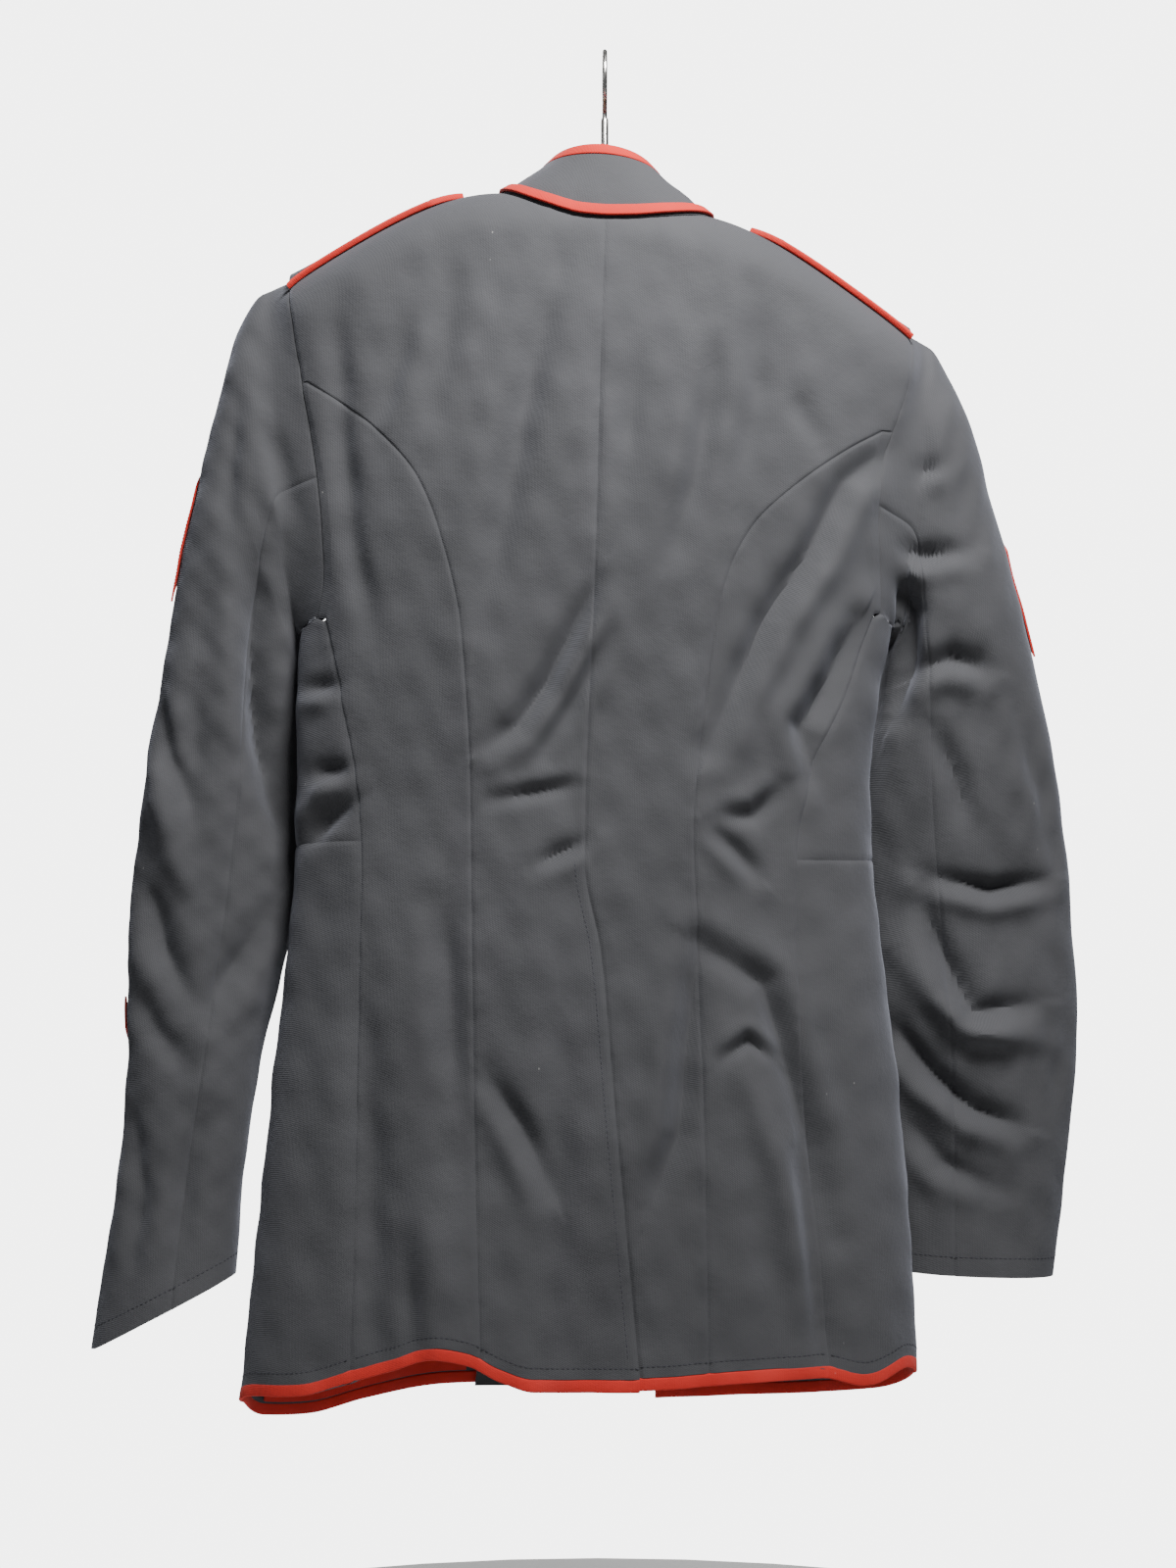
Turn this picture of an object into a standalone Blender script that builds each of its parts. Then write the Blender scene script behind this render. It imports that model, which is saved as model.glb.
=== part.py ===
"""A dress blues coat that hangs, seen from behind, on a hanger with a wire hook.

Each piece that a maker cuts is one closed wall of cloth: backs, side backs, fronts, skirts,
two-piece sleeves, standing collar, shoulder straps, piping, patches and buttons.

Frame: metres, +Z up. The origin is the inside top of the hanger's hook. The coat's back
faces +Y, its front faces -Y, and the wearer's left is +X. Sizes below are in millimetres.
"""

import math

import bpy
import numpy as np

MM = 0.001
WALL = 2.0  # cloth with the canvas behind it
GAP = 0.3  # between two sewn pieces
SEAM_HALF = 0.18  # each piece stops this far from its seam line
EDGE = 0.84  # roundness of the body's section: 1 is an ellipse, less is squarer
SHOULDER_ROUND = 42.0  # depth over which the shoulder rounds over to the back and front
SLEEVE_EDGE = 0.9

# The body's section at each height: left and right edges, and depth behind and before.
# Above the armhole's foot the edges are where the section would end under the sleeves.
BODY_ROWS = (
    # height, left, right, back, front
    (-90, 226, -221, 50, 52),
    (-153, 226, -221, 56, 58),
    (-200, 222, -220, 60, 62),
    (-250, 214, -214, 62, 66),
    (-310, 203, -201, 63, 70),
    (-375, 196, -187, 62, 72),
    (-430, 199, -176, 59, 68),
    (-500, 198, -170, 54, 60),
    (-550, 200, -173, 54, 60),
    (-620, 206, -180, 56, 62),
    (-720, 216, -190, 58, 64),
    (-890, 231, -198, 60, 66),
)
RIDGE = ((-221, -203), (-198, -189), (-72, -114), (0, -101), (70, -97), (205, -153), (226, -163))
NECK = {
    # half width either side, height at the shoulder, at the centre back and centre front
    "left": 70.0,
    "right": -72.0,
    "back": -128.0,
    "front": -165.0,
}
# Hem: height at each angle round the body, from centre back (0) to the left (90) and front (180).
HEM = (
    (-205, -877),
    (-172, -878),
    (-150, -874),
    (-120, -866),
    (-90, -848),
    (-71, -840),
    (-52, -847),
    (-40, -841),
    (-26, -842),
    (-7, -846),
    (5, -847),
    (10, -841),
    (15, -832),
    (21, -828),
    (29, -836),
    (38, -844),
    (50, -853),
    (71, -857),
    (90, -866),
    (110, -880),
    (128, -883),
    (145, -874),
    (160, -868),
    (190, -870),
)
CENTRE_BACK = (
    (0, -128), (4, -255), (7, -367), (12, -479), (13, -535), (3, -592), (-6, -694), (-20, -846),
)
VENT_TOP = -540.0
WAIST = {"left": -522.0, "right": -534.0, "front": -530.0}
# Each side's seams, as (across, height), and the armhole, as (angle, height).
SIDES = {
    "left": {
        "sign": 1,
        "princess": (
            (191, -229), (171, -243), (146, -262), (117, -296), (102, -335), (90, -389), (84, -479),
            (83, -553), (80, -700), (76, -832),
        ),
        "side_seam": ((178, -380), (166, -432), (155, -492), (152, -549), (154, -674), (156, -853)),
        "armhole_back": ((63, -153), (61, -201), (60, -229), (60, -306), (62, -340), (64, -364), (68, -380)),
        "armhole_foot": ((68, -380), (79, -384), (90, -384)),
        "armhole_front": (
            (117, -153), (119, -201), (121, -254), (121, -300), (119, -340), (112, -370), (90, -384),
        ),
        "shoulder": (205, -153),
        "front_edge": ((-17, -165), (-16, -528), (-8, -870)),
    },
    "right": {
        "sign": -1,
        "princess": (
            (-177, -262), (-151, -277), (-112, -306), (-93, -325), (-78, -352), (-68, -389),
            (-58, -469), (-54, -512), (-57, -588), (-60, -700), (-62, -842),
        ),
        "side_seam": (
            (-172, -377), (-152, -430), (-131, -475), (-119, -534), (-118, -604), (-128, -729), (-137, -845),
        ),
        "armhole_back": (
            (61.5, -189), (61, -225), (57, -262), (55.5, -290), (58.5, -323), (64, -352), (69, -377),
        ),
        "armhole_foot": ((69, -377), (80, -382), (90, -382)),
        "armhole_front": (
            (118.5, -189), (119.5, -225), (121, -265), (121, -305), (119, -340), (112, -368), (90, -382),
        ),
        "shoulder": (-198, -189),
        "front_edge": ((28, -165), (34, -528), (86, -877)),
    },
}
# Rows of each sleeve: the outer edge, the inner edge, the middle's depth place and half depth.
SLEEVES = {
    "left": (
        # outer x, outer z, inner x, inner z, outer depth place, half depth, inner depth place
        (222, -160, 199, -388, -4, 33, -8),
        (238, -183, 199, -395, -4, 38, -16),
        (252, -230, 199, -406, -4, 41, -22),
        (264, -285, 197, -421, -4, 41, -28),
        (276, -345, 196, -442, -4, 40, -31),
        (287, -415, 196, -472, -5, 38, -34),
        (297, -485, 196, -512, -6, 36, -34),
        (305, -565, 200, -555, -8, 34, -30),
        (306, -640, 211, -605, -8, 33, -24),
        (307, -705, 222, -657, -8, 31, -16),
        (313, -755, 229, -710, -7, 30, -11),
        (320, -800, 233, -757, -6, 29, -8),
        (325, -841, 235, -795, -5, 28, -5),
    ),
    "right": (
        (-212, -196, -188, -385, -5, 33, -9),
        (-227, -220, -186.5, -391, -6, 38, -17),
        (-241, -256, -183.5, -402, -8, 40, -24),
        (-255, -306, -180, -417, -10, 40, -30),
        (-270, -362, -177, -442, -14, 38, -32),
        (-286, -425, -171, -478, -20, 36, -37),
        (-299, -490, -168, -522, -27, 33, -40),
        (-306, -560, -171, -572, -32, 31, -40),
        (-310, -625, -176, -625, -36, 30, -40),
        (-308, -680, -181, -678, -38, 29, -40),
        (-302, -725, -185, -722, -39, 28, -40),
        (-297, -765, -187, -762, -40, 27, -40),
        (-292, -801, -188, -797, -40, 27, -40),
    ),
}
# Largest folds: lift of the cloth (in is minus), half width, and the line it follows.
BACK_FOLDS = (
    (-5, 14, ((171, -174), (166, -277), (160, -328), (145, -404))),
    (-7, 16, ((28, -148), (43, -217), (56, -277), (69, -347), (80, -420))),
    (5, 16, ((8, -330), (24, -385), (30, -440))),
    (-8, 13, ((10, -372), (38, -426), (55, -451), (72, -468))),
    (-5, 12, ((-70, -215), (-62, -260), (-56, -298), (-40, -350))),
    (-7, 15, ((-176, -272), (-150, -295), (-127, -344), (-100, -385), (-81, -426), (-64, -470))),
    (5, 16, ((-172, -318), (-148, -345), (-122, -392), (-98, -440))),
    (-7, 15, ((-166, -372), (-150, -408), (-124, -451), (-134, -485))),
    (-9, 12, ((-57, -588), (-50, -645), (-45, -700), (-27, -750))),
    (-9, 12, ((-57, -588), (-98, -611), (-112, -659), (-125, -704), (-133, -827))),
    (8, 14, ((-80, -650), (-100, -720), (-112, -800))),
    (-8, 14, ((100, -560), (95, -620), (90, -690))),
    (-9, 13, ((69, -660), (52, -700), (34, -745))),
    (9, 16, ((104, -690), (106, -770), (103, -840))),
    (-8, 12, ((150, -500), (172, -506), (192, -522))),
    (-6, 14, ((140, -700), (134, -780), (128, -850))),
)
FRONT_FOLDS = (
    (-7, 18, ((120, -300), (100, -400), (96, -500))),
    (-7, 18, ((-112, -310), (-96, -400), (-90, -500))),
    (7, 20, ((60, -360), (62, -450), (58, -520))),
    (7, 22, ((96, -600), (112, -720), (118, -860))),
    (-8, 20, ((140, -620), (160, -740), (164, -870))),
    (7, 22, ((-88, -600), (-98, -720), (-102, -860))),
    (-8, 20, ((-130, -620), (-142, -740), (-146, -860))),
)
SLEEVE_FOLDS = {
    "left": (
        (-13, 12, ((222, -350), (224, -400), (222, -440), (214, -490))),
        (-6, 12, ((205, -270), (200, -300), (192, -330))),
        (-7, 14, ((268, -400), (262, -440), (258, -487))),
        (-9, 15, ((286, -566), (262, -620), (232, -590))),
        (6, 14, ((290, -470), (276, -520), (262, -560))),
    ),
    "right": (
        (-12, 12, ((-190, -345), (-197, -375), (-196, -410), (-190, -440))),
        (-6, 10, ((-182, -334), (-202, -339), (-230, -336))),
        (-8, 12, ((-203, -409), (-221, -404), (-240, -410))),
        (-8, 12, ((-210, -545), (-249, -553), (-290, -545))),
        (-8, 12, ((-205, -561), (-220, -597), (-235, -630), (-282, -624))),
        (8, 13, ((-195, -600), (-214, -628), (-240, -646), (-292, -654))),
        (-10, 13, ((-190, -645), (-211, -672), (-236, -693), (-270, -706))),
    ),
}

SHOULDER_STEPS = (0.0, 0.012, 0.045, 0.13, 0.32, 0.62, 1.0)  # rows close together where it rounds
ARMHOLE_STEPS = (0.0, 0.008, 0.03, 0.07, 0.14, 0.24, 0.36, 0.5, 0.66, 0.83, 1.0)
ARMHOLE_SHARE = 0.685  # of the centre front's height that lies beside the armhole
FOOT_SHARES = (0.765, 0.835)
BACK_ARM_CELLS = 5
FOOT_CELLS = 2
WAIST_CELLS = 6
SKIRT_CELLS = 12
NECK_CELLS = 4
SHOULDER_CELLS = 7
BACK_CELLS = NECK_CELLS + SHOULDER_CELLS
FRONT_CELLS = BACK_CELLS + 1  # one more, past the centre front
SIDE_BACK_CELLS = BACK_ARM_CELLS
SLEEVE_CELLS = 19
BACK_SEAM_COLUMN = 8  # columns from the shoulder to the sleeve's back seam
FRONT_SEAM_COLUMN = 7  # columns from the shoulder to the sleeve's front seam

LAP = 3.0  # how far the under front lies behind the upper one
VENT_LIFT = 3.2
VENT_LAP_WIDTH = 36.0
COLLAR_WALL = 2.4
COLLAR_TOP = {"half": 38.0, "back": 38.0, "front": -82.0, "height": -75.0, "drop": 44.0, "lean": 0.07}
COLLAR_PIPE = 7.5
PIPE_WALL = 2.2
HEM_PIPE = 8.0
UNDER_PLAIN_CELLS = 2  # the under front's end has no piping
STRAP_CLEAR = 0.7
STRAP = {"half": 22.0, "wall": 3.0, "inset": 2.0, "neck": 22.0, "point": 20.0, "rim": 3.0, "rim_wall": 4.2}
BUTTON_RADIUS = 11.0
BUTTON_RISE = 6.0
BUTTON_FOOT = 0.86  # the foot's radius as a share of the button's
BUTTON_CLEAR = 0.35
STRAP_BUTTON_RISE = 4.5
STRAP_BUTTON_FROM_POINT = 19.0
STRAP_BUTTON_RADIUS = 7.0
FRONT_BUTTONS = 7
FRONT_BUTTON_TOP = -182.0
FRONT_BUTTON_PITCH = 56.0

HOOK_WIRE = 1.6
HOOK_INSIDE = 17.0
FERRULE = 2.5
FERRULE_TOP = -42.0
BAR_HALF_WIDTH = 6.5
BAR_HALF_HEIGHT = 9.0
BAR_ENDS = (-188.0, 195.0)
BAR_DROP = 2.75  # below the shoulder line: the cloth's wall on the slope and a small gap

MATERIALS = {
    # colour, roughness, metallic
    "cloth": ((0.045, 0.047, 0.056), 0.85, 0.0),
    "scarlet": ((0.62, 0.03, 0.025), 0.8, 0.0),
    "brass": ((0.80, 0.60, 0.25), 0.3, 1.0),
    "steel": ((0.72, 0.72, 0.74), 0.25, 1.0),
    "wood": ((0.45, 0.27, 0.14), 0.5, 0.0),
}


def clear_scene():
    """Removes the objects that the file opens with."""
    for item in list(bpy.data.objects):
        bpy.data.objects.remove(item, do_unlink=True)


def make_material(name):
    """One material of the table above."""
    colour, roughness, metallic = MATERIALS[name]
    material = bpy.data.materials.new(name)
    material.use_nodes = True
    shader = material.node_tree.nodes["Principled BSDF"]
    shader.inputs["Base Color"].default_value = (*colour, 1.0)
    shader.inputs["Roughness"].default_value = roughness
    shader.inputs["Metallic"].default_value = metallic
    material.diffuse_color = (*colour, 1.0)
    return material


def curve_value(knots, values, at):
    """A smooth curve through the values, with no overshoot, read at the places given."""
    knots = np.asarray(knots, float)
    values = np.asarray(values, float)
    steps = np.diff(knots)
    rises = np.diff(values) / steps
    slopes = np.zeros_like(values)
    turning = rises[:-1] * rises[1:] > 0
    both = np.where(turning, rises[:-1] + rises[1:], 1.0)
    slopes[1:-1] = np.where(turning, 2 * rises[:-1] * rises[1:] / both, 0.0)
    slopes[0] = rises[0]
    slopes[-1] = rises[-1]
    at = np.clip(at, knots[0], knots[-1])
    cell = np.clip(np.searchsorted(knots, at, side="right") - 1, 0, len(knots) - 2)
    step = steps[cell]
    t = (at - knots[cell]) / step
    start = values[cell] * (1 + 2 * t) * (1 - t) ** 2 + slopes[cell] * step * t * (1 - t) ** 2
    end = values[cell + 1] * t * t * (3 - 2 * t) + slopes[cell + 1] * step * t * t * (t - 1)
    return start + end


def along_path(points, fractions):
    """Places at fractions of the length of a smooth path through the points."""
    points = np.asarray(points, float)
    knots = np.concatenate([[0], np.cumsum(np.linalg.norm(np.diff(points, axis=0), axis=1))])
    fine = np.linspace(0, knots[-1], 400)
    track = np.stack([curve_value(knots, points[:, i], fine) for i in range(points.shape[1])], 1)
    length = np.concatenate([[0], np.cumsum(np.linalg.norm(np.diff(track, axis=0), axis=1))])
    wanted = np.asarray(fractions) * length[-1]
    return np.stack([np.interp(wanted, length, track[:, i]) for i in range(points.shape[1])], 1)


def smooth_step(value):
    """Nought to one, with soft ends."""
    value = np.clip(value, 0, 1)
    return value * value * (3 - 2 * value)


def power(value, exponent):
    """A power that keeps its sign."""
    return np.sign(value) * np.abs(value) ** exponent


def body_row(height):
    """Middle, half width, and depths behind and before, at a height."""
    rows = np.array(BODY_ROWS[::-1], float)
    left, right, back, front = (curve_value(rows[:, 0], rows[:, i], height) for i in range(1, 5))
    return (left + right) / 2, (left - right) / 2, back, front


def ridge_height(across):
    """Height of the shoulder line."""
    ridge = np.array(RIDGE, float)
    return curve_value(ridge[:, 0], ridge[:, 1], across)


def body_point(angle, height):
    """A place on the coat's body: the angle is 0 at the centre back and 90 at the left."""
    angle, height = np.broadcast_arrays(np.asarray(angle, float), np.asarray(height, float))
    middle, half, back, front = body_row(height)
    turn = np.radians(angle)
    across = middle + half * power(np.sin(turn), EDGE)
    facing = power(np.cos(turn), EDGE)
    below = np.clip((ridge_height(across) - height) / SHOULDER_ROUND, 0, 1)
    rounding = np.sqrt(1 - (1 - below) ** 2)
    deep = np.where(facing > 0, back, front) * facing * rounding
    return np.stack([across, deep, height], -1)


def body_normal(angle, height):
    """The direction straight out of the cloth."""
    turn = 0.25
    drop = 0.4
    here = body_point(angle, height)
    round_way = body_point(np.asarray(angle) + turn, height) - body_point(np.asarray(angle) - turn, height)
    down_way = body_point(angle, np.asarray(height) - drop) - here
    out = np.cross(down_way, round_way)
    out /= np.linalg.norm(out, axis=-1, keepdims=True)
    middle = body_row(height)[0]
    outward = here - np.stack([middle, 0 * middle, here[..., 2] - SHOULDER_ROUND], -1)
    out *= np.where(np.sum(out * outward, -1, keepdims=True) < 0, -1, 1)
    across = here[..., 0]
    slope = (ridge_height(across + 1) - ridge_height(across - 1)) / 2
    up = np.stack([-slope, 0 * slope, 1 + 0 * slope], -1)
    up /= np.linalg.norm(up, axis=-1, keepdims=True)
    on_ridge = (ridge_height(across) - here[..., 2]) < 0.6
    return np.where(on_ridge[..., None], up, out)


def angle_of(across, height):
    """The angle of a place on the back."""
    middle, half, _, _ = body_row(height)
    return np.degrees(np.arcsin(np.clip(power((across - middle) / half, 1 / EDGE), -1, 1)))


def front_angle_of(across, height, sign):
    """The angle of a place on the front, reached round the left (1) or right (-1) side."""
    return sign * (180 - sign * angle_of(across, height))


def hem_height(angle):
    """Height of the hem."""
    hem = np.array(HEM, float)
    return curve_value(hem[:, 0], hem[:, 1], angle)


def fold_lift(folds, across, height):
    """How far the folds move the cloth out or in, at places seen flat."""
    place = np.stack([across, height], -1)
    total = np.zeros(across.shape)
    for lift, width, line in folds:
        line = np.asarray(line, float)
        runs = np.linalg.norm(np.diff(line, axis=0), axis=1)
        starts = np.concatenate([[0], np.cumsum(runs)])
        nearest = np.full(across.shape, 1e9)
        taper = np.zeros(across.shape)
        for i, run in enumerate(runs):
            way = (line[i + 1] - line[i]) / run
            reach = np.clip((place - line[i]) @ way, 0, run)
            distance = np.linalg.norm(place - line[i] - reach[..., None] * way, axis=-1)
            share = (starts[i] + reach) / starts[-1]
            closer = distance < nearest
            nearest = np.where(closer, distance, nearest)
            taper = np.where(closer, np.sin(math.pi * (0.12 + 0.76 * share)), taper)
        total += lift * taper * np.exp(-((nearest / width) ** 2))
    return total


def body_cloth(angle, height, extra=None):
    """Outer places and directions of the cloth, with its folds and any lap."""
    place = body_point(angle, height)
    out = body_normal(angle, height)
    facing = np.cos(np.radians(angle))
    back = fold_lift(BACK_FOLDS, place[..., 0], place[..., 2])
    front = fold_lift(FRONT_FOLDS, place[..., 0], place[..., 2])
    lift = np.where(facing > 0, back, front) * np.clip(2.2 * np.abs(facing), 0, 1)
    lift = lift * smooth_step((ridge_height(place[..., 0]) - place[..., 2]) / 60)
    if extra is not None:
        lift = lift + extra(place[..., 0], place[..., 2])
    return place + out * lift[..., None], out


def patch(top, bottom, inner, outer):
    """A grid inside four edges, in angle and height. Rows run from the inner to the outer edge."""
    top, bottom, inner, outer = (np.asarray(edge, float) for edge in (top, bottom, inner, outer))

    def shares(edge):
        flat = edge * (3.4, 1.0)
        run = np.concatenate([[0], np.cumsum(np.linalg.norm(np.diff(flat, axis=0), axis=1))])
        return run / run[-1]

    s = ((shares(top) + shares(bottom)) / 2)[None, :, None]
    t = ((shares(inner) + shares(outer)) / 2)[:, None, None]
    sides = (1 - s) * inner[:, None] + s * outer[:, None]
    top_bow = top[None] - (1 - s) * top[0] - s * top[-1]
    bottom_bow = bottom[None] - (1 - s) * bottom[0] - s * bottom[-1]
    return sides + (1 - t) ** 3 * top_bow + t**3 * bottom_bow


def draw_in(grid, out, edges=("top", "bottom", "inner", "outer"), amount=SEAM_HALF):
    """Moves the grid's named edges in from their seams by half the gap."""
    moved = grid.copy()
    lines = {
        "top": (0, slice(None)),
        "bottom": (-1, slice(None)),
        "inner": (slice(None), 0),
        "outer": (slice(None), -1),
    }
    behind = {
        "top": (1, slice(None)),
        "bottom": (-2, slice(None)),
        "inner": (slice(None), 1),
        "outer": (slice(None), -2),
    }
    for edge in edges:
        line = grid[lines[edge]]
        run = np.gradient(line, axis=0)
        away = np.cross(run, out[lines[edge]])
        away /= np.linalg.norm(away, axis=-1, keepdims=True)
        inward = grid[behind[edge]] - line
        away *= np.where(np.sum(away * inward, -1, keepdims=True) < 0, -1, 1)
        moved[lines[edge]] += amount * away
    return moved


def add_object(name, points, faces, material):
    """A smooth-shaded mesh object from points in millimetres."""
    mesh = bpy.data.meshes.new(name)
    mesh.from_pydata([tuple(float(c) * MM for c in p) for p in points], [], faces)
    mesh.materials.append(material)
    mesh.shade_smooth()
    mesh.set_sharp_from_angle(angle=math.radians(40))
    item = bpy.data.objects.new(name, mesh)
    bpy.context.scene.collection.objects.link(item)
    return item


def add_wall(name, outer, out, material, wall=WALL):
    """A closed wall of cloth: a grid of outer places and the same grid moved in."""
    rows, columns = outer.shape[:2]
    inner = outer - out * wall
    points = np.concatenate([outer.reshape(-1, 3), inner.reshape(-1, 3)])
    half = rows * columns
    first = outer[0, 1] - outer[0, 0]
    second = outer[1, 0] - outer[0, 0]
    facing = np.dot(np.cross(first, second), out[0, 0]) > 0

    def at(row, column, side=0):
        return side * half + row * columns + column

    faces = []
    for r in range(rows - 1):
        for c in range(columns - 1):
            face = (at(r, c), at(r, c + 1), at(r + 1, c + 1), at(r + 1, c))
            lower = tuple(half + v for v in face[::-1])
            faces.extend([face, lower])
    for c in range(columns - 1):
        faces.append((at(0, c + 1), at(0, c), at(0, c, 1), at(0, c + 1, 1)))
        faces.append((at(rows - 1, c), at(rows - 1, c + 1), at(rows - 1, c + 1, 1), at(rows - 1, c, 1)))
    for r in range(rows - 1):
        faces.append((at(r, 0), at(r + 1, 0), at(r + 1, 0, 1), at(r, 0, 1)))
        last = columns - 1
        faces.append((at(r + 1, last), at(r, last), at(r, last, 1), at(r + 1, last, 1)))
    if not facing:
        faces = [face[::-1] for face in faces]
    return add_object(name, points, faces, material)


def add_loft(name, rings, material):
    """A solid through closed rings, with flat ends."""
    rings = np.asarray(rings, float)
    count, around = rings.shape[:2]
    faces = []
    for r in range(count - 1):
        for c in range(around):
            after = (c + 1) % around
            onward = (r + 1) * around
            faces.append((r * around + c, r * around + after, onward + after, onward + c))
    faces.append(tuple(range(around))[::-1])
    faces.append(tuple((count - 1) * around + c for c in range(around)))
    turn = np.cross(rings[0, 0] - rings[0].mean(0), rings[0, 1] - rings[0].mean(0))
    onward = rings[1].mean(0) - rings[0].mean(0)
    if np.dot(turn, onward) < 0:
        faces = [face[::-1] for face in faces]
    return add_object(name, rings.reshape(-1, 3), faces, material)


def neckline(side, where, cells=NECK_CELLS):
    """Angle and height of the neck seam from the centre to the shoulder, on the back or front."""
    half = NECK[side]
    share = np.linspace(0, 1, cells + 1)
    share = np.sin(share * math.pi / 2) if where == "front" else share
    across = share * half
    shoulder = ridge_height(half)
    height = NECK[where] + (shoulder - NECK[where]) * share ** (2.0 if where == "back" else 2.6)
    sign = SIDES[side]["sign"]
    if where == "back":
        return np.stack([angle_of(across, height), height], 1)
    return np.stack([front_angle_of(across, height, sign), height], 1)


def shoulder_seam(side, where):
    """Angle and height of the shoulder seam from the neck to the sleeve."""
    end, _ = SIDES[side]["shoulder"]
    across = np.linspace(NECK[side], end, SHOULDER_CELLS + 1)
    height = ridge_height(across)
    sign = SIDES[side]["sign"]
    if where == "back":
        return np.stack([angle_of(across, height), height], 1)
    return np.stack([front_angle_of(across, height, sign), height], 1)


def armhole(side, part, steps):
    """Angle and height of a stretch of the armhole, from its top down, or round its foot."""
    table = np.array(SIDES[side][part], float)
    places = along_path(table * (2.2, 1.0), steps) / (2.2, 1.0)
    places[:, 0] *= SIDES[side]["sign"]
    if part != "armhole_foot" and steps[0] == 0:
        across, height = SIDES[side]["shoulder"]
        sign = SIDES[side]["sign"]
        height = ridge_height(across)
        top = angle_of(across, height) if part == "armhole_back" else front_angle_of(across, height, sign)
        places[0] = (top, height)
    return places


def armhole_back(side):
    """The back armhole in two stretches: to the back seam's start, and on to the side seam."""
    start = SIDES[side]["princess"][0][1]
    table = np.array(SIDES[side]["armhole_back"], float)
    fine = along_path(table * (2.2, 1.0), np.linspace(0, 1, 200)) / (2.2, 1.0)
    split = np.interp(-start, -fine[:, 1], np.linspace(0, 1, 200))
    upper = armhole(side, "armhole_back", split * np.array(SHOULDER_STEPS))
    lower = armhole(side, "armhole_back", np.linspace(split, 1, BACK_ARM_CELLS + 1))
    return upper, lower


def back_seam(side):
    """Angle and height of the curved back seam, from the armhole to the hem."""
    cells = WAIST_CELLS + SKIRT_CELLS
    path = along_path(SIDES[side]["princess"], np.linspace(0, 1, cells + 1))
    places = np.stack([angle_of(path[:, 0], path[:, 1]), path[:, 1]], 1)
    places[0] = armhole_back(side)[0][-1]
    places[-1, 1] = hem_height(places[-1, 0])
    return places


def side_seam(side):
    """Angle and height of the side seam, from the armhole through the waist to the hem."""
    table = np.array(SIDES[side]["side_seam"], float)
    waist = WAIST[side]
    knots = -table[:, 1]
    upper = np.linspace(knots[0], -waist, WAIST_CELLS + 1)
    lower = np.linspace(-waist, knots[-1], SKIRT_CELLS + 1)[1:]
    down = np.concatenate([upper, lower])
    across = curve_value(knots, table[:, 0], down)
    places = np.stack([angle_of(across, -down), -down], 1)
    places[0] = armhole_back(side)[1][-1]
    places[-1, 1] = hem_height(places[-1, 0])
    return places


def centre_seam():
    """Angle and height of the centre back seam and the vent's edge below it."""
    start = -235.0
    table = np.array(CENTRE_BACK, float)
    knots = -table[:, 1]
    upper = -table[0, 1] + (-start + table[0, 1]) * np.array(SHOULDER_STEPS)
    lower = np.linspace(-start, knots[-1], WAIST_CELLS + SKIRT_CELLS + 1)[1:]
    down = np.concatenate([upper, lower])
    across = curve_value(knots, table[:, 0], down)
    places = np.stack([angle_of(across, -down), -down], 1)
    places[-1, 1] = hem_height(places[-1, 0])
    return places


def vent_edge(height):
    """Where the vent's edge lies across, at a height."""
    table = np.array(CENTRE_BACK[::-1], float)
    return curve_value(table[:, 1], table[:, 0], height)


def vent_lift(across, height):
    """The upper back stands a little proud along the vent."""
    near = 1 - smooth_step(np.abs(across - vent_edge(height)) / 30)
    below = smooth_step((VENT_TOP - height) / 70)
    return VENT_LIFT * near * below


def vent_sink(across, height):
    """The under back dips a little along the vent."""
    near = 1 - smooth_step(np.abs(across - vent_edge(height)) / 26)
    below = smooth_step((VENT_TOP - height) / 70)
    return -1.5 * near * below


def front_sink(across, height):
    """The right front passes behind the left one."""
    return -LAP * smooth_step((across + 50) / 26)


def hem_line(start, end, cells):
    """Angle and height along the hem between two angles."""
    angle = np.linspace(start, end, cells + 1)
    return np.stack([angle, hem_height(angle)], 1)


def front_edge(side, heights):
    """Angle and height of a front's edge at the centre front."""
    table = np.array(SIDES[side]["front_edge"], float)
    across = curve_value(-table[:, 1], table[:, 0], -np.asarray(heights))
    return np.stack([front_angle_of(across, heights, SIDES[side]["sign"]), heights], 1)


def front_outer_edge(side):
    """A front's edge along the armhole, from the shoulder to the side seam's top."""
    down = armhole(side, "armhole_front", ARMHOLE_STEPS)
    foot = armhole(side, "armhole_foot", np.linspace(0, 1, FOOT_CELLS + 1))[::-1]
    down[-1] = foot[0]
    foot[-1] = armhole_back(side)[1][-1]
    return np.concatenate([down, foot[1:]])


def waist_line(side, start, end):
    """Angle and height along the waist seam, from the front edge to the side seam."""
    share = np.linspace(0, 1, FRONT_CELLS + 1)
    angle = start + (end - start) * share
    height = WAIST["front"] + (WAIST[side] - WAIST["front"]) * smooth_step(share)
    return np.stack([angle, height], 1)


def front_top_edge(side):
    """A front's top edge: past the centre, along the neck, along the shoulder."""
    lap = front_edge(side, np.array([NECK["front"]]))
    return np.concatenate([lap, neckline(side, "front"), shoulder_seam(side, "front")[1:]])


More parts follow.
